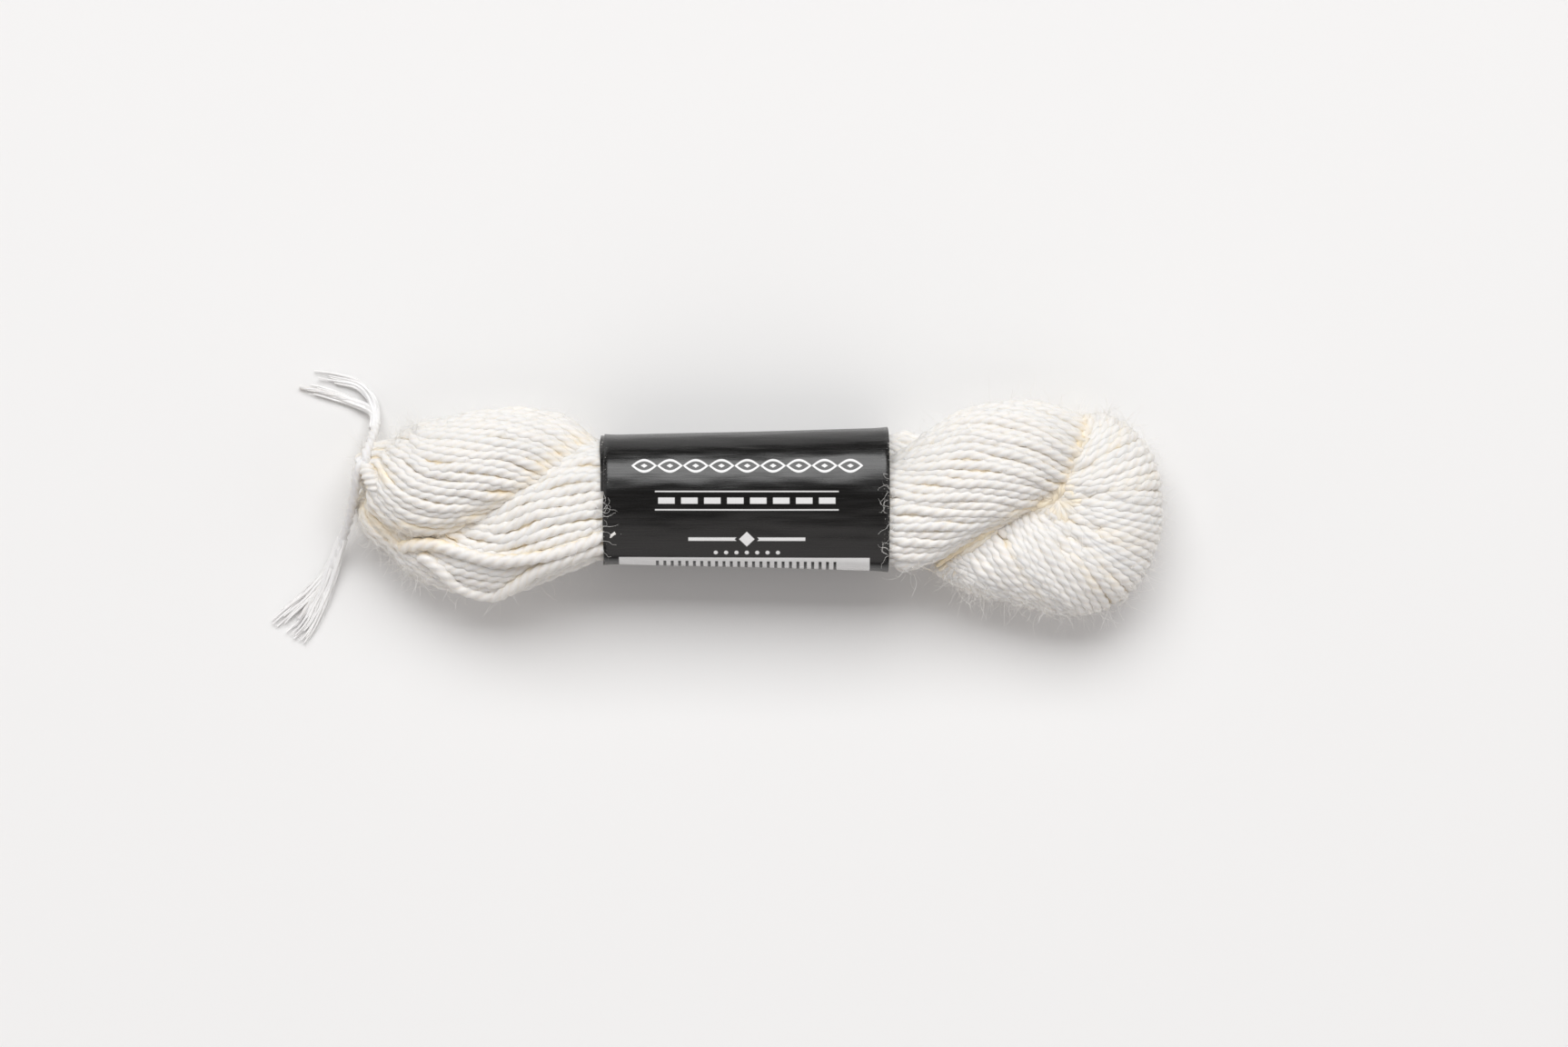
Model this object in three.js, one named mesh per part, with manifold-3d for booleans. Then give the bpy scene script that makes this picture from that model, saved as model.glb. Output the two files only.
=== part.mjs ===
// A small twisted hank of silk embroidery floss with a paper band round its waist.
//
// The wound loop is twisted, folded in half and left to ply back on itself, so it has two plies.
// They cross twice along the hank. At the +X end the loop turns round in a fanned head, and at the
// -X end a short tie thread gathers it, with its two ends left loose.
//
// Units are millimetres, +Z is up and +X runs along the hank. The origin is on the surface the hank
// lies on, under the middle of its length and width.
import * as THREE from "three";
import { mergeVertices } from "three/addons/utils/BufferGeometryUtils.js";
import Module from "manifold-3d";

const wasm = await Module();
wasm.setup();

// ---- driving dimensions ----
const clearance = 0.3; // gap between pieces that touch
const smallestEdge = 0.01; // slivers finer than this, left by joining and cutting, are taken out

const ply = {
  ribs: 10, // raised strand groups round a ply
  ribPoints: 3, // points across each group
  ribHeight: 0.045, // share of the radius
  step: 2.5, // spacing of the sections along a ply
};

// The ply that lies uppermost at the tied end, dips under the band and comes up again before the head.
// across and deep are half sizes, and turn is how far the strands have gone round, in degrees.
const firstPly = [
  { x: -54.6, y: 3.9, z: 6.8, across: 1.2, deep: 1.6, turn: 0 },
  { x: -53.6, y: 4.0, z: 7.0, across: 2.6, deep: 2.9, turn: 7 },
  { x: -52.0, y: 4.1, z: 7.7, across: 4.0, deep: 3.7, turn: 15 },
  { x: -50.2, y: 4.2, z: 8.6, across: 5.1, deep: 4.5, turn: 24 },
  { x: -48.2, y: 4.2, z: 9.4, across: 6.1, deep: 5.2, turn: 33 },
  { x: -45.0, y: 4.3, z: 10.2, across: 7.2, deep: 5.8, turn: 46 },
  { x: -40.0, y: 4.8, z: 10.9, across: 7.8, deep: 6.0, turn: 68 },
  { x: -34.0, y: 5.9, z: 10.6, across: 7.4, deep: 6.0, turn: 93 },
  { x: -28.0, y: 6.5, z: 9.3, across: 6.5, deep: 5.7, turn: 119 },
  { x: -22.0, y: 4.7, z: 7.4, across: 6.0, deep: 5.2, turn: 146 },
  { x: -14.0, y: 1.2, z: 6.2, across: 7.3, deep: 4.8, turn: 180 },
  { x: -6.0, y: -1.8, z: 6.8, across: 7.2, deep: 5.0, turn: 214 },
  { x: 1.0, y: -2.8, z: 8.8, across: 6.6, deep: 5.8, turn: 245 },
  { x: 8.0, y: -2.6, z: 10.6, across: 7.2, deep: 5.2, turn: 276 },
  { x: 15.0, y: -1.9, z: 11.2, across: 7.5, deep: 4.9, turn: 306 },
  { x: 20.0, y: -0.4, z: 11.4, across: 7.9, deep: 5.0, turn: 329 },
  { x: 25.0, y: 2.3, z: 11.7, across: 7.9, deep: 5.3, turn: 353 },
  { x: 30.0, y: 5.4, z: 11.7, across: 8.3, deep: 5.6, turn: 378 },
  { x: 35.0, y: 7.1, z: 11.0, across: 7.6, deep: 5.7, turn: 401 },
  { x: 39.0, y: 7.5, z: 9.0, across: 6.1, deep: 5.4, turn: 420 },
  { x: 42.2, y: 7.3, z: 6.2, across: 4.3, deep: 4.1, turn: 437 },
  { x: 44.4, y: 6.6, z: 4.4, across: 1.6, deep: 1.6, turn: 449 },
];

// The ply that starts underneath, comes up before the band and dips behind it on the way to the head.
const secondPly = [
  { x: -53.6, y: 1.6, z: 6.0, across: 1.2, deep: 1.6, turn: 0 },
  { x: -52.6, y: 1.0, z: 5.7, across: 2.7, deep: 3.2, turn: 8 },
  { x: -51.0, y: 0.0, z: 5.4, across: 4.3, deep: 4.4, turn: 18 },
  { x: -48.9, y: -1.3, z: 5.2, across: 5.7, deep: 5.0, turn: 30 },
  { x: -45.5, y: -2.6, z: 5.3, across: 7.2, deep: 5.6, turn: 48 },
  { x: -40.5, y: -4.1, z: 5.8, across: 7.6, deep: 6.1, turn: 70 },
  { x: -35.0, y: -4.3, z: 7.3, across: 8.0, deep: 6.2, turn: 94 },
  { x: -29.0, y: -2.5, z: 9.2, across: 7.9, deep: 5.9, turn: 120 },
  { x: -22.0, y: 0.3, z: 10.9, across: 8.0, deep: 5.2, turn: 151 },
  { x: -14.0, y: 2.8, z: 10.8, across: 7.8, deep: 5.0, turn: 185 },
  { x: -6.0, y: 4.0, z: 9.0, across: 7.0, deep: 5.7, turn: 220 },
  { x: 2.0, y: 4.4, z: 7.2, across: 6.8, deep: 5.6, turn: 255 },
  { x: 10.0, y: 4.2, z: 6.2, across: 7.2, deep: 5.0, turn: 290 },
  { x: 18.0, y: 3.6, z: 6.0, across: 7.6, deep: 4.8, turn: 325 },
  { x: 25.0, y: 0.6, z: 6.0, across: 7.6, deep: 5.2, turn: 356 },
  { x: 30.0, y: -3.0, z: 6.4, across: 6.6, deep: 5.4, turn: 380 },
  { x: 35.0, y: -5.4, z: 6.4, across: 4.0, deep: 3.6, turn: 404 },
  { x: 38.0, y: -6.4, z: 6.4, across: 1.2, deep: 1.2, turn: 416 },
];

// The head fans round a pinched middle. reach is from the middle to the rim, at each bearing.
const headMiddle = { x: 40.2, y: 1.3, z: 6.4, eye: 0.4, plugAcross: 2.6, plugDeep: 3.4 };
const head = [
  { bearing: -168, reach: 9.0, z: 5.6, deep: 2.6, turn: 0 },
  { bearing: -150, reach: 19.6, z: 6.3, deep: 5.6, turn: 40 },
  { bearing: -135, reach: 17.9, z: 6.5, deep: 6.4, turn: 75 },
  { bearing: -118, reach: 15.8, z: 6.6, deep: 6.8, turn: 120 },
  { bearing: -100, reach: 15.4, z: 6.6, deep: 6.9, turn: 175 },
  { bearing: -80, reach: 16.3, z: 6.6, deep: 6.9, turn: 245 },
  { bearing: -55, reach: 16.7, z: 6.6, deep: 6.9, turn: 335 },
  { bearing: -30, reach: 15.3, z: 6.6, deep: 6.9, turn: 425 },
  { bearing: 0, reach: 14.4, z: 6.6, deep: 6.9, turn: 533 },
  { bearing: 30, reach: 14.5, z: 6.5, deep: 6.8, turn: 641 },
  { bearing: 58, reach: 13.9, z: 6.2, deep: 6.4, turn: 742 },
  { bearing: 76, reach: 11.8, z: 5.4, deep: 5.2, turn: 800 },
  { bearing: 96, reach: 6.0, z: 4.6, deep: 2.4, turn: 850 },
];

// The paper band is a strip wrapped round the waist, with one end lapped under the other.
const band = {
  from: -21.4,
  to: 17.1,
  paper: 0.4, // both layers of the lap together
  middle: 1.2,
  leftScale: 1.0, // the waist is a little wider towards the head
  rightScale: 1.11,
  lapShows: 0.4, // how far the lapped-under end stands out past the edge
  lapFrom: 2.5, // the lap is seen from this y outwards
};
// Half of the band's outline is flat on top and half is round, as paper creased over a soft core.
const bandOutline = [
  { across: 8.9, up: 9.0 },
  { across: 8.1, up: 12.8 },
  { across: 5.7, up: 15.4 },
  { across: 2.0, up: 16.6 },
  { across: -2.6, up: 16.3 },
  { across: -6.9, up: 15.1 },
  { across: -8.6, up: 13.4 },
  { across: -8.9, up: 10.0 },
  { across: -8.3, up: 5.0 },
  { across: -6.4, up: 2.0 },
  { across: -2.0, up: 0.8 },
  { across: 3.0, up: 0.7 },
  { across: 6.8, up: 2.2 },
  { across: 8.5, up: 5.2 },
];

// The tie is one thread: a slanting turn round the gathered end, a knot and two loose ends.
const thread = { diameter: 1.2, plies: 3, plyPoints: 3, groove: 0.16, pitch: 4.4, step: 0.6 };
const tieTurn = { x: -52.7, y: 3.7, z: 6.9, across: 3.5, deep: 4.2, slant: 30, sides: 8, steps: 36 };
const knot = { x: -53.75, y: 6.1, z: 10.3, long: 1.6, across: 1.1, deep: 1.1 };
const upperEnd = [
  { x: -53.5, y: 8.4, z: 10.1 },
  { x: -52.9, y: 9.6, z: 9.0 },
  { x: -52.4, y: 11.1, z: 6.9 },
  { x: -52.4, y: 12.6, z: 4.8 },
  { x: -53.1, y: 14.0, z: 3.0 },
  { x: -54.3, y: 15.2, z: 1.8 },
  { x: -56.0, y: 16.2, z: 1.1 },
  { x: -58.2, y: 16.9, z: 0.8 },
  { x: -60.5, y: 17.2, z: 0.7 },
  { x: -62.6, y: 17.3, z: 0.7 },
];
const lowerEnd = [
  { x: -54.9, y: 3.9, z: 10.0 },
  { x: -55.3, y: 2.4, z: 8.9 },
  { x: -56.0, y: 0.3, z: 7.2 },
  { x: -56.9, y: -2.2, z: 5.2 },
  { x: -57.8, y: -4.8, z: 3.4 },
  { x: -58.8, y: -7.3, z: 2.0 },
  { x: -60.0, y: -9.6, z: 1.2 },
  { x: -61.3, y: -11.9, z: 0.8 },
  { x: -62.7, y: -14.1, z: 0.7 },
  { x: -64.0, y: -16.2, z: 0.7 },
];

// ---- geometry helpers ----
const degrees = THREE.MathUtils.degToRad;

// A smooth curve through one triple of columns of a table.
function throughRows(rows, first, second, third, closed = false) {
  const points = rows.map((row) => new THREE.Vector3(row[first], row[second], third ? row[third] : 0));
  return new THREE.CatmullRomCurve3(points, closed, "catmullrom", 0.5);
}

// A three.js geometry as a solid that can be joined and cut.
function solidOf(geometry) {
  const bare = geometry.index ? geometry.toNonIndexed() : geometry.clone();
  bare.deleteAttribute("normal");
  bare.deleteAttribute("uv");
  const merged = mergeVertices(bare, 1e-4);
  return new wasm.Manifold(
    new wasm.Mesh({
      numProp: 3,
      vertProperties: merged.attributes.position.array,
      triVerts: new Uint32Array(merged.index.array),
    }),
  );
}

// A joined solid without the small hollows that its pieces close off between them.
function filled(solid) {
  return solid.decompose().reduce((largest, one) => (one.volume() > largest.volume() ? one : largest));
}

function geometryOf(solid) {
  const made = filled(solid.simplify(smallestEdge)).getMesh();
  return new THREE.BufferGeometry()
    .setAttribute("position", new THREE.BufferAttribute(new Float32Array(made.vertProperties), 3))
    .setIndex(new THREE.BufferAttribute(new Uint32Array(made.triVerts), 1));
}

// A closed skin over a row of rings that have the same number of points.
function skin(rings) {
  const around = rings[0].length;
  const points = rings.flat();
  const faces = [];
  rings.slice(1).forEach((ring, i) => {
    for (let j = 0; j < around; j++) {
      const next = (j + 1) % around;
      const [a, b] = [i * around + j, i * around + next];
      faces.push([a, b, b + around], [a, b + around, a + around]);
    }
  });
  [[0, rings[0], 1], [(rings.length - 1) * around, rings.at(-1), -1]].forEach(([start, ring, way]) => {
    const middle = ring.reduce((sum, p) => sum.add(p), new THREE.Vector3()).divideScalar(around);
    points.push(middle);
    for (let j = 0; j < around; j++) {
      const [a, b] = [start + j, start + ((j + 1) % around)];
      faces.push(way > 0 ? [b, a, points.length - 1] : [a, b, points.length - 1]);
    }
  });
  const geometry = new THREE.BufferGeometry().setFromPoints(points);
  geometry.setIndex(faces.flat());
  return solidOf(geometry);
}

// The ring of a ply at one place: an oval with its strand groups raised, turned by the lay.
function plyRing(centre, side, up, across, deep, turn) {
  const around = ply.ribs * ply.ribPoints;
  return Array.from({ length: around }, (_, j) => {
    const share = (2 * Math.PI * j) / around;
    const swell = 1 + ply.ribHeight * Math.cos(ply.ribs * share);
    const angle = share + degrees(turn);
    return centre
      .clone()
      .addScaledVector(side, across * swell * Math.cos(angle))
      .addScaledVector(up, deep * swell * Math.sin(angle));
  });
}

// A ply follows its rows, with its sections square to its path and level across.
function plySolid(rows) {
  const path = throughRows(rows, "x", "y", "z");
  const size = throughRows(rows, "across", "deep", "turn");
  const count = Math.round(path.getLength() / ply.step);
  const rings = Array.from({ length: count + 1 }, (_, i) => {
    const t = i / count;
    const along = path.getTangent(t);
    const side = new THREE.Vector3(0, 0, 1).cross(along).normalize();
    const up = along.clone().cross(side);
    const { x: across, y: deep, z: turn } = size.getPoint(t);
    return plyRing(path.getPoint(t), side, up, across, deep, turn);
  });
  return skin(rings);
}

// The head's sections stand upright on rays from its pinched middle.
function headSolid() {
  const shape = throughRows(head, "bearing", "reach", "turn");
  const height = throughRows(head, "bearing", "z", "deep");
  const sweep = degrees(head.at(-1).bearing - head[0].bearing);
  const count = Math.round((sweep * head[8].reach * 0.75) / ply.step) * 2;
  const rings = Array.from({ length: count + 1 }, (_, i) => {
    const { x: bearing, y: reach, z: turn } = shape.getPoint(i / count);
    const { y: z, z: deep } = height.getPoint(i / count);
    const outward = new THREE.Vector3(Math.cos(degrees(bearing)), Math.sin(degrees(bearing)), 0);
    const across = (reach - headMiddle.eye) / 2;
    const centre = outward.clone().multiplyScalar(across + headMiddle.eye);
    centre.add(new THREE.Vector3(headMiddle.x, headMiddle.y, z));
    const inward = outward.clone().negate();
    return plyRing(centre, inward, new THREE.Vector3(0, 0, 1), across, deep, turn);
  });
  return skin(rings);
}

// Strands that cross inside the head close its pinched middle.
function headPlug() {
  const lump = new THREE.SphereGeometry(1, 16, 10);
  lump.scale(headMiddle.plugAcross, headMiddle.plugAcross, headMiddle.plugDeep);
  return solidOf(lump.translate(headMiddle.x, headMiddle.y, headMiddle.z));
}

// The band's outline at one x, moved in from the paper's outside by some depth.
function bandRing(x, depth, widen = 1) {
  const share = THREE.MathUtils.clamp((x - band.from) / (band.to - band.from), 0, 1);
  const scale = THREE.MathUtils.lerp(band.leftScale, band.rightScale, share) * widen;
  const outline = throughRows(bandOutline, "across", "up", null, true);
  const around = bandOutline.length * 4;
  const middleUp = (bandOutline[3].up + bandOutline[11].up) / 2;
  return Array.from({ length: around }, (_, j) => {
    const at = outline.getPoint(j / around);
    const along = outline.getTangent(j / around);
    const across = at.x * scale - along.y * depth;
    const up = middleUp + (at.y - middleUp) * widen + along.x * depth;
    return new THREE.Vector3(x, band.middle + across, up);
  });
}

function sleeve(from, to, depth) {
  return skin([bandRing(from, depth), bandRing((from + to) / 2, depth), bandRing(to, depth)]);
}

function bandSolid() {
  const inside = sleeve(band.from - 5, band.to + 5, band.paper);
  const strip = sleeve(band.from, band.to, 0).subtract(inside);
  const lapped = sleeve(band.from - band.lapShows, band.from + 1, band.paper / 2).subtract(inside);
  const seen = new THREE.BoxGeometry(4, 20, 20).translate(band.from, band.lapFrom + 10, 17);
  return strip.add(lapped.intersect(solidOf(seen)));
}

// The room that the band leaves for the plies, flaring away from both of its edges.
function waistMould() {
  const depth = band.paper + clearance;
  const flare = [
    { away: 70, widen: 5 },
    { away: 7, widen: 1.6 },
    { away: 2.5, widen: 1.12 },
    { away: 0.7, widen: 1 },
  ];
  const before = flare.map(({ away, widen }) => bandRing(band.from - away, depth, widen));
  const after = flare.map(({ away, widen }) => bandRing(band.to + away, depth, widen));
  return skin([...before, ...after.reverse()]);
}

// What lies under the surface that the hank rests on.
function underTheSurface() {
  return solidOf(new THREE.BoxGeometry(200, 100, 40).translate(0, 0, -20));
}

// A plied thread along some rows, each ply a lobe of its section.
function threadSolid(rows, diameter) {
  const path = throughRows(rows, "x", "y", "z");
  const count = Math.round(path.getLength() / thread.step);
  const frames = path.computeFrenetFrames(count, false);
  const around = thread.plies * thread.plyPoints;
  const rings = Array.from({ length: count + 1 }, (_, i) => {
    const centre = path.getPointAt(i / count);
    const turn = (-2 * Math.PI * i * thread.step) / thread.pitch;
    return Array.from({ length: around }, (__, j) => {
      const share = (2 * Math.PI * j) / around;
      const radius = (diameter / 2) * (1 - thread.groove * (0.5 - 0.5 * Math.cos(thread.plies * share)));
      return centre
        .clone()
        .addScaledVector(frames.normals[i], radius * Math.cos(share + turn))
        .addScaledVector(frames.binormals[i], radius * Math.sin(share + turn));
    });
  });
  return skin(rings);
}

// The turn of the tie: a flattened ring that stands slantwise across the gathered end.
function tieTurnSolid(growth = 0) {
  const ring = new THREE.TorusGeometry(1, 0.1, tieTurn.sides, tieTurn.steps);
  const { position } = ring.attributes;
  const radius = thread.diameter / 2 + growth;
  for (let i = 0; i < position.count; i++) {
    const bearing = Math.atan2(position.getY(i), position.getX(i));
    const out = ((Math.hypot(position.getX(i), position.getY(i)) - 1) / 0.1) * radius;
    const across = (tieTurn.across + out) * Math.cos(bearing);
    position.setXYZ(i, (position.getZ(i) / 0.1) * radius, across, (tieTurn.deep + out) * Math.sin(bearing));
  }
  return solidOf(ring.rotateZ(degrees(tieTurn.slant)).translate(tieTurn.x, tieTurn.y, tieTurn.z));
}

function knotSolid(growth = 0) {
  const lump = new THREE.SphereGeometry(1, 16, 10);
  lump.scale(knot.across + growth, knot.long + growth, knot.deep + growth);
  return solidOf(lump.rotateZ(degrees(tieTurn.slant)).translate(knot.x, knot.y, knot.z));
}

// ---- the hank ----
const silk = { color: 0xf3ede0, roughness: 0.45, metalness: 0 };
const tieSilk = { color: 0xf0eef2, roughness: 0.45, metalness: 0 };
const blackPaper = { color: 0x161616, roughness: 0.35, metalness: 0 };

const hank = new THREE.Group();

function addPiece(name, solid, look) {
  const mesh = new THREE.Mesh(geometryOf(solid), new THREE.MeshStandardMaterial(look));
  mesh.name = name;
  hank.add(mesh);
}

const wound = plySolid(firstPly).add(plySolid(secondPly)).add(headSolid()).add(headPlug());
const tieRoom = tieTurnSolid(clearance).add(knotSolid(clearance));
const drawnIn = wound.intersect(waistMould()).subtract(tieRoom);
addPiece("hank", drawnIn.subtract(underTheSurface()), silk);
addPiece("band", bandSolid(), blackPaper);
addPiece("tie_turn", tieTurnSolid().add(knotSolid()), tieSilk);
addPiece("tie_end_upper", threadSolid(upperEnd, thread.diameter), tieSilk);
addPiece("tie_end_lower", threadSolid(lowerEnd, thread.diameter), tieSilk);

export default hank;
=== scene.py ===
import math
import random
from functools import partial, reduce

import bpy
import numpy as np
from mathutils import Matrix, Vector


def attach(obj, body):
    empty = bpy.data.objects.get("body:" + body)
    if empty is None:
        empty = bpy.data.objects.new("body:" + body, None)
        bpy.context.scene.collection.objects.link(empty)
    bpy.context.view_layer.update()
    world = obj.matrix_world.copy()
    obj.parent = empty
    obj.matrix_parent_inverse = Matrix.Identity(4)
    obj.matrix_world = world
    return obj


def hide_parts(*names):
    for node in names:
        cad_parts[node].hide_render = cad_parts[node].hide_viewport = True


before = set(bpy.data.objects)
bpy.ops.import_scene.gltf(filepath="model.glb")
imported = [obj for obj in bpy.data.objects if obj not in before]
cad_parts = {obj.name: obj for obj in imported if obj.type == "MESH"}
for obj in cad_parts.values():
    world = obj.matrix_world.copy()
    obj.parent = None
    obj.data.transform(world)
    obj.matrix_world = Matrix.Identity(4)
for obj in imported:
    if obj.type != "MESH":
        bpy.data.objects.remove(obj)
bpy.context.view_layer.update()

mm = 0.001  # tables are in millimetres, the scene is in metres
straightUp = (0, 0, 1)


# A smooth curve through the rows of a table, at shares from 0 to 1 of its rows, and its slope there
def smoothRows(rows, shares, closed=False):
    rows = np.asarray(rows, float)
    shares = np.atleast_1d(np.asarray(shares, float))
    count = len(rows)
    spans = count if closed else count - 1
    place = np.clip(shares, 0, 1) * spans
    index = np.minimum(place.astype(int), spans - 1)
    part = (place - index)[:, None]
    if closed:
        padded = np.vstack([rows[-1], rows, rows[0], rows[1]])
    else:
        padded = np.vstack([2 * rows[0] - rows[1], rows, 2 * rows[-1] - rows[-2]])
    before, start, end, after = (padded[index + k] for k in range(4))
    leave = 0.5 * (end - before)
    arrive = 0.5 * (after - start)
    square, cube = part**2, part**3
    value = (
        start * (2 * cube - 3 * square + 1)
        + end * (3 * square - 2 * cube)
        + leave * (cube - 2 * square + part)
        + arrive * (cube - square)
    )
    slope = (
        start * (6 * square - 6 * part)
        + end * (6 * part - 6 * square)
        + leave * (3 * square - 4 * part + 1)
        + arrive * (3 * square - 2 * part)
    )
    return value, slope


def unit(vectors):
    return vectors / np.maximum(np.linalg.norm(vectors, axis=-1, keepdims=True), 1e-9)


# How far along a line each of its points is
def distances(points):
    return np.concatenate([[0], np.cumsum(np.linalg.norm(np.diff(points, axis=0), axis=1))])


# Even points along a line, that many of them
def evenPoints(points, count):
    points = np.asarray(points, float)
    gone = distances(points)
    at = np.linspace(0, gone[-1], count)
    return np.stack([np.interp(at, gone, points[:, k]) for k in range(points.shape[1])], axis=1)


def lineLength(points):
    return float(np.linalg.norm(np.diff(np.asarray(points, float), axis=0), axis=1).sum())


# A slow random wave along a line, about 1 high at most, each with its own seed
def slowWave(at, wavelength, dice):
    wave = np.zeros(len(at))
    for share, height in ((1.0, 0.55), (0.53, 0.3), (0.31, 0.15)):
        wave += height * np.sin(2 * math.pi * at / (wavelength * share) + dice.uniform(0, 2 * math.pi))
    return wave


# Puts values, or other nodes' sockets, into a node's inputs
def setInputs(node, inputs):
    for place, value in inputs.items():
        if isinstance(value, bpy.types.NodeSocket):
            node.id_data.links.new(value, node.inputs[place])
        else:
            node.inputs[place].default_value = value


def addNode(tree, kind, inputs=None, **settings):
    made = tree.nodes.new(kind)
    made.location = (190 * (len(tree.nodes) % 12), -220 * (len(tree.nodes) // 12))
    for setting, value in settings.items():
        setattr(made, setting, value)
    setInputs(made, inputs or {})
    return made


# A maths node in the tree of its first socket
def maths(operation, *values):
    tree = next(value.id_data for value in values if isinstance(value, bpy.types.NodeSocket))
    return addNode(tree, "ShaderNodeMath", dict(enumerate(values)), operation=operation).outputs[0]


plus, minus, times, over = (partial(maths, kind) for kind in ("ADD", "SUBTRACT", "MULTIPLY", "DIVIDE"))
larger = partial(maths, "MAXIMUM")
unsigned = partial(maths, "ABSOLUTE")


def mapRange(value, fromLow, fromHigh, toLow, toHigh, **settings):
    inputs = {"Value": value, 1: fromLow, 2: fromHigh, 3: toLow, 4: toHigh}
    return addNode(value.id_data, "ShaderNodeMapRange", inputs, **settings).outputs[0]


def noise(place, scale, detail, **more):
    inputs = {"Vector": place, "Scale": scale, "Detail": detail, **more}
    return addNode(place.id_data, "ShaderNodeTexNoise", inputs).outputs["Fac"]


# The first tone turning into the second where the share is 1
def mixTones(share, first, second):
    tones = [tone if isinstance(tone, bpy.types.NodeSocket) else (*tone, 1) for tone in (first, second)]
    inputs = {"Factor": share, "A": tones[0], "B": tones[1]}
    return addNode(share.id_data, "ShaderNodeMix", inputs, data_type="RGBA").outputs["Result"]


# Fine relief, its depth in millimetres, over what relief there is already
def bumped(height, strength, deep, under=None):
    inputs = {"Height": height, "Strength": strength, "Distance": deep * mm}
    if under is not None:
        inputs["Normal"] = under
    return addNode(height.id_data, "ShaderNodeBump", inputs).outputs[0]


# A new material, its tree and its shader
def newMaterial(name):
    made = bpy.data.materials.new(name)
    made.use_nodes = True
    return made, made.node_tree, made.node_tree.nodes["Principled BSDF"]


def putInScene(name, data):
    made = bpy.data.objects.new(name, data)
    bpy.context.scene.collection.objects.link(made)
    return made


# The same object with its modifiers' result as its plain mesh
def applied(piece):
    piece.update_tag()
    depsgraph = bpy.context.evaluated_depsgraph_get()
    mesh = bpy.data.meshes.new_from_object(piece.evaluated_get(depsgraph))
    mesh.name = piece.name
    piece.modifiers.clear()
    piece.data = mesh
    return piece


def meshOf(name, points, faces, smooth=True):
    mesh = bpy.data.meshes.new(name)
    mesh.from_pydata([tuple(p) for p in points], [], faces)
    mesh.update()
    if smooth:
        mesh.shade_smooth()
    return mesh


def dress(piece, node):
    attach(piece, "root")
    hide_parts(node)
    return piece


# The camera looks straight down on the hank
view = {
    "frameAcross": 213.09,  # what the frame takes in at the hank's height
    "middle": (3.02, -1.98),
    "level": 8.0,
    "away": 1200.0,
    "sensor": 36.0,
    "clip": (0.05, 20.0),
}
studio = {
    "floorTone": (0.87, 0.868, 0.866),
    "floorShade": 0.99,  # its darker clouds, as a share of its tone
    "floorClouds": 3.0,
    "floorRoughness": 0.9,
    "floorGloss": 0.1,
    "floorAcross": 4000.0,
    "skyTone": (1.0, 0.965, 0.95),
    "skyStrength": 0.085,
    "boxAway": 2200.0,
}
# Each soft box is its bearing from +X, its tilt from straight overhead, its sides, its power and its tone
softBoxes = {
    "mainBox": (90.0, 38.0, (2600.0, 1450.0), 52.0, (1.0, 1.0, 1.0)),
    "frontFill": (-90.0, 46.0, (3200.0, 2200.0), 16.5, (1.0, 0.955, 0.94)),
    "leftFill": (180.0, 62.0, (2600.0, 1600.0), 9.0, (1.0, 0.98, 0.97)),
    "rightFill": (0.0, 62.0, (2600.0, 1600.0), 9.0, (1.0, 0.98, 0.97)),
}


def addCamera():
    lens = bpy.data.cameras.new("camera")
    lens.sensor_width = view["sensor"]
    lens.lens = view["sensor"] * view["away"] / view["frameAcross"]
    lens.clip_start, lens.clip_end = view["clip"]
    camera = putInScene("camera", lens)
    camera.location = Vector((*view["middle"], view["level"] + view["away"])) * mm
    bpy.context.scene.camera = camera


def addFloor():
    half = studio["floorAcross"] / 2 * mm
    corners = [(x * half, y * half, 0) for x, y in ((-1, -1), (1, -1), (1, 1), (-1, 1))]
    floor = putInScene("floor", meshOf("floor", corners, [(0, 1, 2, 3)], smooth=False))
    paint, tree, shader = newMaterial("paleFloor")
    place = addNode(tree, "ShaderNodeTexCoord").outputs["Object"]
    shade = [studio["floorShade"] * c for c in studio["floorTone"]]
    setInputs(shader, {
        "Base Color": mixTones(noise(place, studio["floorClouds"], 2.0), studio["floorTone"], shade),
        "Roughness": studio["floorRoughness"],
        "Specular IOR Level": studio["floorGloss"],
    })
    floor.data.materials.append(paint)


def addLight():
    world = bpy.data.worlds.new("studioSky")
    world.use_nodes = True
    sky = world.node_tree.nodes["Background"]
    setInputs(sky, {"Color": (*studio["skyTone"], 1), "Strength": studio["skyStrength"]})
    bpy.context.scene.world = world
    for name, (bearing, tilt, across, power, tone) in softBoxes.items():
        box = bpy.data.lights.new(name, "AREA")
        box.shape = "RECTANGLE"
        box.size, box.size_y = (side * mm for side in across)
        box.energy = power
        box.color = tone
        lamp = putInScene(name, box)
        bearing, tilt = math.radians(bearing), math.radians(tilt)
        aim = Vector((math.sin(tilt) * math.cos(bearing), math.sin(tilt) * math.sin(bearing), math.cos(tilt)))
        lamp.location = aim * studio["boxAway"] * mm
        lamp.rotation_euler = aim.to_track_quat("Z", "Y").to_euler()
    bpy.context.scene.view_settings.view_transform = "Standard"


addCamera()
addFloor()
addLight()
print("camera, floor and light are up")


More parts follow.
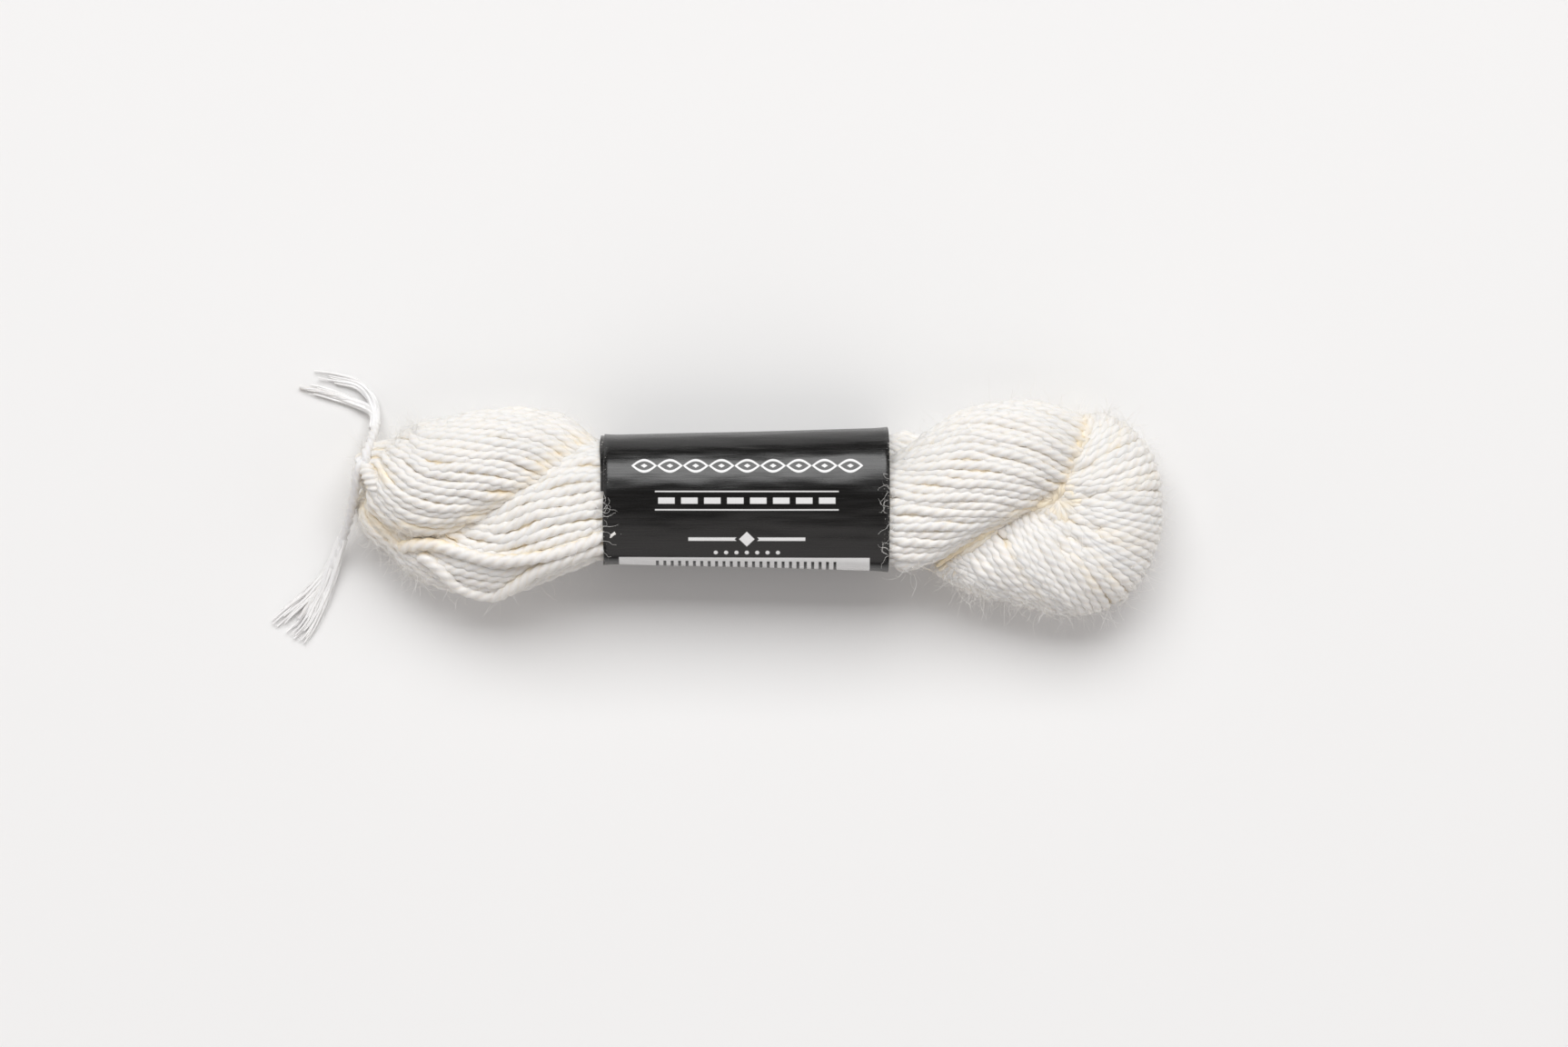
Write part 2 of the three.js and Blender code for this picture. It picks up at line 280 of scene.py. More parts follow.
# Geometry Nodes sweep a plied section along every line of a mesh. Each point may swell the thread,
# and each line has its own phase. The strand grooves and the way round and along are kept for the silk.
def threadTree():
    tree = bpy.data.node_groups.new("pliedThread", "GeometryNodeTree")
    for name, kind, value in (
        ("Geometry", "Geometry", None), ("Radius", "Float", 0.0006), ("Groove", "Float", 0.2),
        ("Pitch", "Float", -0.0044), ("Step", "Float", 0.0004), ("Strands", "Int", 3),
        ("Points round", "Int", 12), ("Material", "Material", None),
    ):
        socket = tree.interface.new_socket(name, in_out="INPUT", socket_type="NodeSocket" + kind)
        if value is not None:
            socket.default_value = value
    tree.interface.new_socket("Geometry", in_out="OUTPUT", socket_type="NodeSocketGeometry")
    given = addNode(tree, "NodeGroupInput").outputs

    def node(kind, inputs=None, **settings):
        return addNode(tree, "GeometryNode" + kind, inputs, **settings).outputs[0]

    def vector(operation, inputs, output):
        return addNode(tree, "ShaderNodeVectorMath", inputs, operation=operation).outputs[output]

    def named(name, kind="FLOAT"):
        made = addNode(tree, "GeometryNodeInputNamedAttribute", {"Name": name}, data_type=kind)
        return made.outputs["Attribute"]

    def stored(geometry, name, value, kind="FLOAT"):
        inputs = {"Geometry": geometry, "Name": name, "Value": value}
        return node("StoreNamedAttribute", inputs, data_type=kind)

    phase = named("phase")
    lines = node("MeshToCurve", {"Mesh": given["Geometry"]})
    smooth = node("CurveSplineType", {"Curve": lines}, spline_type="CATMULL_ROM")
    fine = node("SetSplineResolution", {"Geometry": smooth, "Resolution": 4})
    even = node("ResampleCurve", {"Curve": fine, "Length": given["Step"]}, mode="LENGTH")
    gone = addNode(tree, "GeometryNodeSplineParameter").outputs["Length"]
    turns = plus(over(gone, given["Pitch"]), phase)
    twisted = node("SetCurveTilt", {"Curve": even, "Tilt": times(turns, 2 * math.pi)})
    marked = stored(twisted, "along", plus(gone, times(phase, 0.5)))
    marked = stored(marked, "middle", node("InputPosition"), "FLOAT_VECTOR")

    ring = node("CurvePrimitiveCircle", {"Resolution": given["Points round"], "Radius": 1.0})
    bearing = times(over(node("InputIndex"), given["Points round"]), 2 * math.pi)
    groove = maths("MULTIPLY_ADD", maths("COSINE", times(bearing, given["Strands"])), -0.5, 0.5)
    inwards = minus(1.0, times(groove, given["Groove"]))
    drawn = vector("SCALE", {0: node("InputPosition"), "Scale": inwards}, 0)
    section = stored(node("SetPosition", {"Geometry": ring, "Position": drawn}), "groove", groove)
    section = stored(section, "round", node("InputPosition"), "FLOAT_VECTOR")

    size = times(named("swell"), given["Radius"])
    ends = {"Curve": marked, "Profile Curve": section, "Scale": size, "Fill Caps": True}
    swept = node("CurveToMesh", ends)
    offset = vector("SUBTRACT", {0: node("InputPosition"), 1: named("middle", "FLOAT_VECTOR")}, 0)
    lean = vector("DOT_PRODUCT", {0: offset, 1: named("outward", "FLOAT_VECTOR")}, "Value")
    faced = stored(swept, "facing", over(lean, given["Radius"]))
    bare = node("RemoveAttribute", {"Geometry": faced, "Name": "middle"})
    soft = node("SetShadeSmooth", {"Geometry": bare, "Shade Smooth": True})
    real = node("RealizeInstances", {"Geometry": soft})
    dyed = node("SetMaterial", {"Geometry": real, "Material": given["Material"]})
    addNode(tree, "NodeGroupOutput", {0: dyed})
    return tree


threadMaker = threadTree()


# Where the hank's parts press together, in plan. Threads near these lines are painted with a gold glow, for
# the light that comes back from between the threads there
creases = [
    [(-48.2, -4.6), (-43.0, -4.6), (-41.2, -3.1), (-40.3, -1.2), (-39.3, -0.4), (-37.5, 0.2), (-34.4, 1.9),
     (-32.5, 3.1), (-29.4, 5.9), (-27.0, 8.0), (-23.9, 9.6)],
    [(22.7, -8.4), (24.3, -7.4), (26.1, -5.9), (28.0, -4.6), (29.8, -3.5), (31.7, -2.0), (33.5, -0.7),
     (36.0, 0.1), (39.1, 1.0), (41.0, 3.3), (41.7, 6.2), (42.8, 8.6), (44.0, 11.7)],
    [(-39.9, -2.3), (-39.0, -0.6)],
    [(-51.2, 5.1), (-50.4, 4.2)],
    [(-52.9, -1.0), (-51.0, -2.7), (-49.8, -4.0), (-48.6, -4.6)],
    [(-49.2, -2.1), (-45.5, -2.3), (-41.8, -2.1)],
]
# Where the head's threads part, in plan
furrows = [
    [(40.9, 0.5), (47.0, 2.4), (53.0, 4.1)],
    [(39.1, 0.0), (40.3, -1.2), (42.2, -2.1), (44.6, -2.6), (47.1, -2.8), (50.8, -3.7)],
    [(45.2, -3.1), (47.3, -4.0), (50.8, -4.9)],
    [(42.2, 4.9), (44.6, 5.9), (46.5, 7.4), (49.0, 10.5)],
    [(40.1, -4.6), (42.6, -7.2), (45.2, -10.5)],
    [(41.5, -3.7), (44.6, -5.8), (47.7, -9.9)],
    [(33.0, -3.6), (35.0, -8.0), (37.6, -11.6)],
]
creaseWide = 0.8
furrowWide = 0.5
furrowDeep = 0.75
furrowGlowShare = 0.7  # a furrow gets this share of a crease's painted gold glow
lineStep = 0.3


def pointsAlong(lines):
    return np.vstack([evenPoints(line, max(4, int(lineLength(line) / lineStep))) for line in lines])


creasePoints = pointsAlong(creases)
risePoints = pointsAlong(creases[1:2])
furrowPoints = pointsAlong(furrows)


# 1 on the lines and 0 well away from them
def nearLines(points, linePoints, wide):
    off = np.linalg.norm(points[:, None, :2] - linePoints[None], axis=2).min(axis=1)
    return np.exp(-(off / wide) ** 2)


# How much painted gold glow each point gets: full on a crease, part of it on a furrow
def paintedGlowShare(points):
    furrowed = furrowGlowShare * nearLines(points, furrowPoints, furrowWide)
    return np.maximum(nearLines(points, creasePoints, creaseWide), furrowed)


# Threads along routes, as a plain mesh. A route is its points, their swell, its phase and its outward way.
# Each point also keeps its share of the painted crease glow.
def spinThreads(name, routes, material, half, groove, pitch, step, strands=3, around=12):
    points, edges, swells, phases, outs, glowShares = [], [], [], [], [], []
    for route, swell, phase, out in routes:
        route = np.asarray(route, float)
        edges.extend((len(points) + k, len(points) + k + 1) for k in range(len(route) - 1))
        points.extend([tuple(p * mm) for p in route])
        outs.extend(np.broadcast_to(np.asarray(out, float), (len(route), 3)))
        swells.extend(np.broadcast_to(swell, len(route)))
        phases.extend([phase] * len(route))
        glowShares.extend(paintedGlowShare(route))
    lines = bpy.data.meshes.new(name + "Lines")
    lines.from_pydata(points, edges, [])
    for attribute, values in (("swell", swells), ("phase", phases), ("crease", glowShares)):
        kept = lines.attributes.new(attribute, "FLOAT", "POINT")
        kept.data.foreach_set("value", np.array(values, np.float32))
    ways = lines.attributes.new("outward", "FLOAT_VECTOR", "POINT")
    ways.data.foreach_set("vector", np.array(outs, np.float32).ravel())
    piece = putInScene(name, lines)
    maker = piece.modifiers.new("threads", "NODES")
    maker.node_group = threadMaker
    sizes = {"Radius": half * mm, "Groove": groove, "Pitch": -pitch * mm, "Step": step * mm,
             "Strands": strands, "Points round": around, "Material": material}
    for item in threadMaker.interface.items_tree:
        if item.in_out == "INPUT" and item.name in sizes:
            maker[item.identifier] = sizes[item.name]
    return applied(piece)


silkLook = {
    "light": (0.85, 0.832, 0.808),
    "cool": (0.81, 0.805, 0.796),
    "warm": (0.83, 0.77, 0.67),
    # painted gold glow between threads and in the creases
    "paintedCreviceGlow": (0.93, 0.815, 0.61),
    "paintedCreaseGlow": (0.955, 0.82, 0.60),
    "roughness": 0.46,
    "gloss": 0.4,
    "sheen": 0.5,
    "sheenRoughness": 0.45,
    "sheenTone": (1.0, 0.96, 0.90),
    "under": 0.25,  # how much light passes under the surface
    "underReach": (1.0, 0.9, 0.75),
    "underDepth": 0.35,
    "relief": 0.3,
    "reliefDepth": 0.06,
    "filaments": (9.0, 9.0, 700.0),  # how fine they are, across the thread twice and along it
}
# Where each of the silk's changes of tone starts and is full, how much of it there is, and its tone. The one
# in the strands' groove is painted shade; the others are the silk's own
silkTones = {
    "patches": (0.5, 0.72, 0.6, "cool"),
    "own": (0.55, 1.0, 0.8, "cool"),  # each thread's own tone
    # painted shade in the groove between strands
    "paintedGrooveShade": (0.6, 1.0, 0.45, "warm"),
    "streaks": (0.5, 0.75, 0.18, "warm"),
}
# The looks below keep their own tone for the painted glow between threads
tieLook = dict(silkLook, light=(0.83, 0.825, 0.825), cool=(0.79, 0.79, 0.80), warm=(0.80, 0.77, 0.74),
               paintedCreviceGlow=(0.82, 0.78, 0.74), under=0.1)
fuzzLook = dict(silkLook, light=(0.94, 0.93, 0.91), cool=(0.92, 0.91, 0.90), paintedCreviceGlow=(0.94, 0.93, 0.91),
                under=0.0)
strandLook = dict(tieLook, light=(0.95, 0.945, 0.94), cool=(0.87, 0.87, 0.88), warm=(0.90, 0.89, 0.88),
                  paintedCreviceGlow=(0.92, 0.91, 0.90), under=0.0, roughness=0.35, gloss=0.9, sheen=0.3)


def silkMaterial(name, look):
    silk, tree, shader = newMaterial(name)
    place = addNode(tree, "ShaderNodeTexCoord").outputs["Object"]
    threads = {}
    for part, output in (("round", "Vector"), ("along", "Fac"), ("groove", "Fac"), ("facing", "Fac"),
                         ("phase", "Fac"), ("crease", "Fac")):
        threads[part] = addNode(tree, "ShaderNodeAttribute", attribute_name=part).outputs[output]
    # fine filaments run along each strand
    apart = addNode(tree, "ShaderNodeSeparateXYZ", {0: threads["round"]}).outputs
    ways = [times(way, fine) for way, fine in zip((apart[0], apart[1], threads["along"]), look["filaments"])]
    filament = addNode(tree, "ShaderNodeCombineXYZ", dict(enumerate(ways))).outputs[0]
    streaks = noise(filament, 1.0, 4.0)
    # the groove tone is painted shade between strands
    changes = {"patches": noise(place, 300.0, 2.0), "own": threads["phase"], "paintedGrooveShade": threads["groove"],
               "streaks": streaks}
    base = look["light"]
    for change, value in changes.items():
        start, full, most, tone = silkTones[change]
        base = mixTones(mapRange(value, start, full, 0.0, most), base, look[tone])
    # painted gold glow, for light coming back between threads, on the sides that they turn to each other, in
    # patches
    creviceGlowShare = mapRange(threads["facing"], 0.55, -0.15, 0.0, 1.0, interpolation_type="SMOOTHSTEP")
    patchy = mapRange(noise(place, 140.0, 1.0), 0.35, 0.65, 0.35, 1.0)
    base = mixTones(times(creviceGlowShare, patchy), base, look["paintedCreviceGlow"])
    # painted gold glow in the creases and furrows, most on the threads' sides
    deep = times(threads["crease"], mapRange(threads["facing"], 1.0, 0.1, 0.1, 1.0))
    setInputs(shader, {
        "Base Color": mixTones(deep, base, look["paintedCreaseGlow"]),
        "Normal": bumped(streaks, look["relief"], look["reliefDepth"]),
        "Roughness": look["roughness"],
        "Specular IOR Level": look["gloss"],
        "Subsurface Weight": look["under"],
        "Subsurface Radius": look["underReach"],
        "Subsurface Scale": look["underDepth"] * mm,
        "Sheen Weight": look["sheen"],
        "Sheen Roughness": look["sheenRoughness"],
        "Sheen Tint": (*look["sheenTone"], 1),
    })
    return silk


silkThread = silkMaterial("silkThread", silkLook)
tieThread = silkMaterial("tieThread", tieLook)
silkFuzz = silkMaterial("silkFuzz", fuzzLook)
tieStrands = silkMaterial("tieStrands", strandLook)
print("silk is dyed")

# The tie is one thread in a turn and a knot, with two free ends that come apart into their strands.
# Each of its threads has half its width, its groove, the length in which it goes once round, and its step,
# and some say how many strands it has and how many points lie round it.
tie = {
    "across": 1.25,
    "cord": {"half": 0.7, "groove": 0.3, "pitch": 5.0, "step": 0.25},  # soft, so wider than it measures
    "wrap": {"half": 1.25, "groove": 0.24, "pitch": 2.3, "step": 0.16, "around": 18},  # drawn out flat
    "knot": {"half": 0.42, "groove": 0.3, "pitch": 5.0, "step": 0.16},
    "lock": {"half": 0.38, "groove": 0.26, "pitch": 30.0, "step": 0.5, "strands": 5, "around": 20},
    "filament": {"half": 0.06, "groove": 0.0, "pitch": 3.0, "step": 0.5, "strands": 1, "around": 6},
    "knotLoop": 0.27,
    "knotShift": (-0.25, 0.1, 0.1),
    "seed": 5,
}
tieTurn = {"middle": (-52.7, 3.7, 6.9), "across": 3.5, "deep": 4.2, "slant": 30.0}
knotAt = (-53.8, 6.2, 10.3)
upperStem = [
    (-53.75, 7.2, 10.4), (-53.5, 8.2, 9.2), (-53.1, 9.4, 7.2), (-52.8, 10.7, 4.7), (-52.65, 12.0, 2.7),
]
upperEnd = [
    (-53.1, 13.1, 1.6), (-54.2, 13.9, 1.0), (-55.8, 14.6, 0.75), (-57.7, 15.3, 0.65), (-60.0, 16.0, 0.6),
    (-63.2, 16.7, 0.5),
]
upperStrand = [
    (-52.8, 12.9, 2.0), (-53.0, 14.2, 1.2), (-53.8, 15.8, 0.75), (-55.6, 17.2, 0.6), (-58.4, 17.9, 0.5),
    (-61.6, 18.4, 0.45),
]
lowerStem = [
    (-54.4, 6.0, 10.8), (-54.9, 5.2, 10.5), (-55.0, 4.1, 9.9), (-55.2, 2.6, 8.6), (-55.7, 0.6, 6.6),
    (-56.4, -1.8, 4.4), (-57.2, -4.0, 2.8),
]
lowerEnd = [
    (-58.0, -6.0, 1.8), (-58.9, -8.0, 1.2), (-60.1, -10.2, 0.85), (-61.6, -12.5, 0.7), (-63.3, -15.0, 0.6),
]
# Each tuft is its way, its width at its two ends and how many locks and single filaments it has
upperTufts = [
    ([(-52.9, 11.0, 4.4), *upperStrand], 0.8, 1.4, 5, 10),
    ([(-52.7, 11.4, 3.6), *upperEnd], 0.8, 1.4, 5, 10),
]
lowerTufts = [
    ([(-57.2, -4.0, 2.8), (-58.3, -6.6, 1.6), (-59.6, -8.9, 1.0), (-61.9, -11.4, 0.7), (-64.6, -13.9, 0.55),
      (-67.0, -16.0, 0.5)], 0.9, 2.0, 6, 16),
    ([(-57.2, -4.0, 2.8), (-58.3, -7.0, 1.6), (-59.4, -10.2, 1.0), (-60.7, -13.2, 0.7), (-62.2, -15.8, 0.55),
      (-64.0, -18.0, 0.5)], 0.9, 2.9, 9, 20),
]


# Points of the slanting turn between two bearings, 90 degrees being its top
def turnPoints(start, end, count, wider=0.0):
    slant = math.radians(tieTurn["slant"])
    points = []
    for bearing in np.radians(np.linspace(start, end, count)):
        out = (tieTurn["across"] + wider) * math.cos(bearing)
        x, y, z = tieTurn["middle"]
        rise = (tieTurn["deep"] + wider) * math.sin(bearing)
        points.append((x - out * math.sin(slant), y + out * math.cos(slant), z + rise))
    return points


# Lines along a way, laid together at its start and spread flat at its end. Locks share its width out.
def tuftRoutes(way, wideFrom, wideTo, count, dice, areLocks):
    path, slope = smoothRows(way, np.linspace(0, 1, 60))
    side = unit(np.cross(straightUp, slope))
    gone = np.linspace(0, lineLength(path), len(path))
    share = gone / gone[-1]
    wide = wideFrom + (wideTo - wideFrom) * share
    tall = wideFrom * (0.6 - 0.5 * share)
    wander, lowest = (0.07, tie["lock"]["half"]) if areLocks else (0.16, 0.1)
    routes = []
    for k in range(count):
        if areLocks:
            out = (k + 0.5 + dice.uniform(-0.3, 0.3)) / count * 2 - 1
        else:
            out = dice.uniform(-1.15, 1.15)
        drift = wander * wide * slowWave(gone, 12, dice)
        route = path + side * (out * wide / 2 + drift)[:, None]
        high = 1 if k % 2 else -1
        route[:, 2] += high * tall / 2 * dice.uniform(0.4, 1.0) + 0.08 * slowWave(gone, 9, dice)
        route[:, 2] = np.maximum(route[:, 2], lowest)
        last = int(len(route) * dice.uniform(0.84, 1.0))
        swell = np.interp(np.arange(last), [0, last - 14, last - 5, last - 1], [1.0, 0.95, 0.7, 0.3])
        swell = evenPoints(swell[:, None], 16)[:, 0]
        routes.append((evenPoints(route[:last], 16), swell, dice.random(), straightUp))
    return routes


def makeTieCord(side, end):
    points = turnPoints(230, end["lastBearing"], 13) + [knotAt] + end["way"]
    path, _ = smoothRows(points, np.linspace(0, 1, len(points) * 12))
    path = evenPoints(path, 100)
    gone = np.linspace(0, lineLength(path), len(path))
    thinAt = gone[-1] * end["thinFrom"]
    swell = np.interp(gone, [0, thinAt - 3.0, thinAt, gone[-1]], [1, 1, 0.55, 0.42])
    cord = spinThreads(side + "TieEnd", [(path, swell, 0.2, straightUp)], tieThread, **tie["cord"])
    return dress(cord, "tie_end_" + side), path


def makeTufts(side, end, dice):
    locks, singles = [], []
    for way, wideFrom, wideTo, lockCount, singleCount in end["tufts"]:
        locks += tuftRoutes(way, wideFrom, wideTo, lockCount, dice, True)
        singles += tuftRoutes(way, wideFrom, wideTo, singleCount, dice, False)
    made = [
        spinThreads(side + "TieStrands", locks, tieStrands, **tie["lock"]),
        spinThreads(side + "TieStrandsSingle", singles, tieStrands, **tie["filament"]),
    ]
    return [dress(piece, "tie_end_" + side) for piece in made]


def makeKnot():
    span = (-20, 400, 40)
    bearings = np.linspace(*span)
    fromTop = np.minimum(np.abs(bearings - 90), np.abs(bearings - 450))
    fat = np.interp(fromTop, [0, 30, 75, 110], [1.0, 0.95, 0.7, 0.55])
    wrapRoute = (turnPoints(*span, wider=0.1), fat, 0.0, straightUp)
    wrap = spinThreads("tieWrap", [wrapRoute], silkThread, **tie["wrap"])
    turn = np.linspace(0, 2 * math.pi, 41)
    loop = tie["knotLoop"] * np.stack([
        np.sin(turn) + 2 * np.sin(2 * turn),
        np.cos(turn) - 2 * np.cos(2 * turn),
        -1.3 * np.sin(3 * turn),
    ], axis=1) + np.array(knotAt) + tie["knotShift"]
    lump = spinThreads("tieKnot", [(loop, 1.0, 0.4, straightUp)], tieThread, **tie["knot"])
    for piece in (wrap, lump):
        dress(piece, "tie_turn")


# Each free end has the bearing where it leaves the turn, its way on from the knot, where its thread thins out
# as a share of its length, and its tufts
tieEnds = {
    "upper": {"lastBearing": 395, "way": upperStem + upperEnd, "thinFrom": 0.68, "tufts": upperTufts},
    "lower": {"lastBearing": 62, "way": lowerStem + lowerEnd, "thinFrom": 0.86, "tufts": lowerTufts},
}
tieDice = random.Random(tie["seed"])
cords = {side: makeTieCord(side, end) for side, end in tieEnds.items()}
frays = {side: makeTufts(side, end, tieDice) for side, end in tieEnds.items()}
makeKnot()
print("tie cords are laid", [round(lineLength(path), 1) for _, path in cords.values()])

# The hank is two plies of threads and a fanned head.
# Each ply row is x, y, z, half its width, half its depth, and how far its threads have gone round.
# The ply that lies uppermost at the tied end, dips under the band and comes up again before the head
firstPly = [
    (-54.6, 4.1, 6.8, 1.2, 1.6, 0), (-53.6, 4.4, 7.0, 3.2, 3.0, 11), (-52.0, 4.7, 7.7, 5.1, 4.0, 27),
    (-50.2, 4.2, 8.5, 6.5, 4.8, 43), (-48.2, 3.9, 9.2, 7.5, 5.5, 58), (-45.0, 3.9, 10.0, 8.1, 5.9, 76),
    (-40.0, 5.4, 10.8, 7.8, 6.0, 100), (-34.0, 7.0, 10.3, 7.1, 6.0, 127), (-28.0, 6.9, 8.8, 6.4, 5.6, 154),
    (-22.0, 4.7, 7.4, 6.0, 5.2, 180), (-14.0, 1.2, 6.2, 7.3, 4.8, 212), (-6.0, -1.8, 6.8, 7.2, 5.0, 240),
    (1.0, -2.8, 8.8, 6.6, 5.8, 265), (8.0, -2.6, 10.6, 7.2, 5.2, 288), (15.0, -1.9, 11.2, 7.5, 4.9, 308),
    (20.0, -0.3, 11.4, 8.0, 5.0, 326), (25.0, 2.6, 11.7, 8.2, 5.3, 356), (30.0, 5.6, 11.7, 8.6, 5.6, 388),
    (35.0, 7.5, 11.0, 7.9, 5.7, 421), (39.4, 8.2, 9.2, 6.5, 5.4, 454), (43.0, 8.4, 6.8, 4.8, 4.2, 484),
    (45.6, 8.2, 4.8, 1.8, 1.8, 504),
]
# The ply that starts underneath, comes up before the band and dips behind it on the way to the head
secondPly = [
    (-54.5, 1.5, 6.0, 1.4, 1.8, 0), (-53.7, 1.1, 5.7, 3.0, 3.2, 6), (-51.8, -0.1, 5.4, 4.8, 4.5, 15),
    (-48.9, -1.3, 5.2, 5.7, 5.0, 25), (-45.5, -2.6, 5.3, 7.2, 5.6, 36), (-40.5, -4.1, 5.9, 7.6, 6.1, 46),
    (-35.0, -4.1, 7.8, 7.7, 6.2, 54), (-29.0, -1.2, 9.9, 8.1, 5.8, 64), (-22.0, 1.4, 10.9, 8.2, 5.2, 76),
    (-14.0, 2.8, 10.8, 7.8, 5.0, 105), (-6.0, 4.0, 9.0, 7.0, 5.7, 140), (2.0, 4.4, 7.2, 6.8, 5.6, 175),
    (10.0, 4.2, 6.2, 7.2, 5.0, 210), (18.0, 3.6, 6.0, 7.6, 4.8, 245), (25.0, 0.6, 6.0, 7.6, 5.2, 276),
    (30.0, -3.0, 6.4, 6.6, 5.4, 300), (35.0, -5.4, 6.4, 4.0, 3.6, 324), (38.0, -6.4, 6.4, 1.2, 1.2, 336),
]
# The head fans round a pinched middle. Each row is a bearing, the reach to the rim, the height and half
# the depth.
headMiddle = (40.2, 1.3)
headEye = -0.5
headRise = {"up": 1.2, "wide": 1.7}  # the head swells up against the ply beside it
head = [
    (-168, 9.0, 5.6, 2.6), (-150, 19.6, 6.3, 5.6), (-135, 17.9, 6.5, 6.4), (-118, 15.8, 6.6, 6.8),
    (-100, 15.4, 6.6, 6.9), (-80, 16.3, 6.6, 6.9), (-55, 16.7, 6.6, 6.9), (-30, 15.3, 6.6, 6.9),
    (0, 14.4, 6.6, 6.9), (30, 14.5, 6.5, 6.8), (58, 13.9, 6.2, 6.4), (76, 11.8, 5.4, 5.2),
    (96, 6.0, 4.6, 2.4),
]
pinch = {
    "plugAcross": 2.2,
    "plugDeep": 5.6,
    "plugLevel": 5.6,
    "fan": (-165, 195, 12.0),  # bearings from, to and step
    "longReach": 3.4,
    "shortReach": 2.2,
    "shortFrom": 75,
    "outwards": (0.1, 0.3, 0.6, 0.8, 1.0),
    "heights": (11.3, 11.7, 12.0, 12.0, 11.6),
    "swell": 0.62,
    "bed": [(-0.7, 11.3), (0.0, 11.7), (0.7, 11.6)],  # each thread's way to the side and its height
    "bedDip": 2.4,
    "bedSwell": (0.3, 0.8),
}
# Where threads close the head's two ends, and from which bearing on they start low, so as not to show above
closing = {
    "bearings": (-163, -158.5, -154.5, -151, -148, -145, -142, *np.arange(64, 99, 4.5)),
    "lowFrom": -151,
    "from": 0.3,  # where a thread starts and ends on its way round, in half turns
    "fromLow": 0.8,
    "to": 1.75,
}
# The ways that the head's threads take over its top, from the pinch to the rim
headGuides = [
    [(21.8, -8.3), (24.8, -10.0), (25.9, -10.9)],
    [(23.6, -8.0), (27.3, -9.9), (28.3, -11.6)],
    [(25.5, -6.4), (28.6, -9.3), (31.7, -12.3)],
    [(27.6, -4.9), (31.0, -9.5), (35.4, -12.8)],
    [(29.8, -3.7), (33.5, -9.3), (38.5, -13.7)],
    [(32.3, -2.2), (35.4, -8.6), (40.7, -14.9)],
    [(35.4, -0.6), (37.2, -7.2), (42.4, -15.1)],
    [(37.2, -0.1), (40.9, -6.4), (45.2, -13.8)],
    [(38.7, 0.5), (42.8, -5.3), (48.1, -12.0)],
    [(39.4, 0.5), (44.6, -4.7), (51.4, -9.9)],
    [(39.9, 0.2), (45.2, -2.8), (53.5, -6.4)],
    [(40.3, 1.0), (47.1, -1.0), (54.4, -2.5)],
    [(40.7, 1.5), (47.1, 1.6), (54.4, 1.2)],
    [(40.9, 2.5), (47.1, 3.6), (53.9, 5.6)],
    [(41.2, 3.7), (47.1, 7.0), (52.3, 9.3)],
    [(41.7, 5.9), (46.5, 9.3), (49.9, 11.1)],
    [(42.4, 8.0), (45.2, 10.5), (47.3, 12.6)],
    [(43.4, 10.5), (44.6, 11.7), (45.6, 13.0)],
]
floss = {
    "across": 1.66,
    "pitch": 5.2,  # length in which the strands go once round
    "groove": 0.21,
    "step": 0.37,
    "plyThreads": 35,
    "headThreads": 48,
    "sideways": 0.34,  # how far a thread strays from its place, as a share of the gap to the next
    "lift": 0.17,
    "gap": 1.12,  # threads that lie closer than this crowd each other, and sink and thin
    "sinkCrowded": (0.2, 1.4),  # how far every other thread sinks where they crowd
    "sinkAtPinch": (0.0, 0.9),
    "dive": 6.0,  # how steeply the head's threads start inside the pinch
    "headWay": 46.0,  # about how long a thread of the head is
    "routeStep": 0.9,
    "offFloor": 0.97,  # how far a thread's middle stays off the floor, as a share of half of it
    "coreInset": 1.0,
    "coreFloor": 0.45,  # the core stays this far off the floor
    "hiddenFrom": -19.0,  # under the band the threads stop short and the core goes on
    "hiddenTo": 14.6,
    "seed": 41,
}

# The band's place on the waist and its outline there, across and up, against the clock seen from -X
band = {
    "from": -21.4,
    "to": 17.1,
    "middle": 1.2,
    "leftScale": 1.0,
    "rightScale": 1.11,
    "middleUp": 8.65,
    "room": 0.7,  # from the paper's outside to the threads
}
bandOutline = [
    (8.9, 9.0), (8.1, 12.8), (5.7, 15.4), (2.0, 16.6), (-2.6, 16.3), (-6.9, 15.1), (-8.6, 13.4),
    (-8.9, 10.0), (-8.3, 5.0), (-6.4, 2.0), (-2.0, 0.8), (3.0, 0.7), (6.8, 2.2), (8.5, 5.2),
]


def bandScale(x):
    share = np.clip((np.asarray(x, float) - band["from"]) / (band["to"] - band["from"]), 0, 1)
    return band["leftScale"] + (band["rightScale"] - band["leftScale"]) * share


# How far the waist's inside is from its middle, at each bearing round it
outlineDense, _ = smoothRows(bandOutline, np.linspace(0, 1, 240, endpoint=False), closed=True)
outlineDense = outlineDense - np.array([0, band["middleUp"]])
outlineBearing = np.arctan2(outlineDense[:, 1], outlineDense[:, 0])
outlineOrder = np.argsort(outlineBearing)
outlineBearing = outlineBearing[outlineOrder]
outlineReach = np.hypot(outlineDense[:, 0], outlineDense[:, 1])[outlineOrder]


# Draws points in to the waist, which flares away from the band, and lifts them off the floor
def drawnIn(points, thick):
    points = points.copy()
    x = points[:, 0]
    away = np.maximum(np.maximum(band["from"] - x, x - band["to"]), 0)
    widen = np.interp(away, [0, 0.7, 2.5, 7, 70], [1, 1, 1.12, 1.6, 5])
    scale = bandScale(x)
    across = (points[:, 1] - band["middle"]) / scale
    up = points[:, 2] - band["middleUp"]
    reach = np.interp(np.arctan2(up, across), outlineBearing, outlineReach, period=2 * math.pi)
    room = (reach * widen - band["room"] - thick) / np.maximum(np.hypot(across, up), 0.01)
    share = np.minimum(room, 1)
    points[:, 1] = band["middle"] + across * scale * share
    points[:, 2] = np.maximum(band["middleUp"] + up * share, thick)
    return points


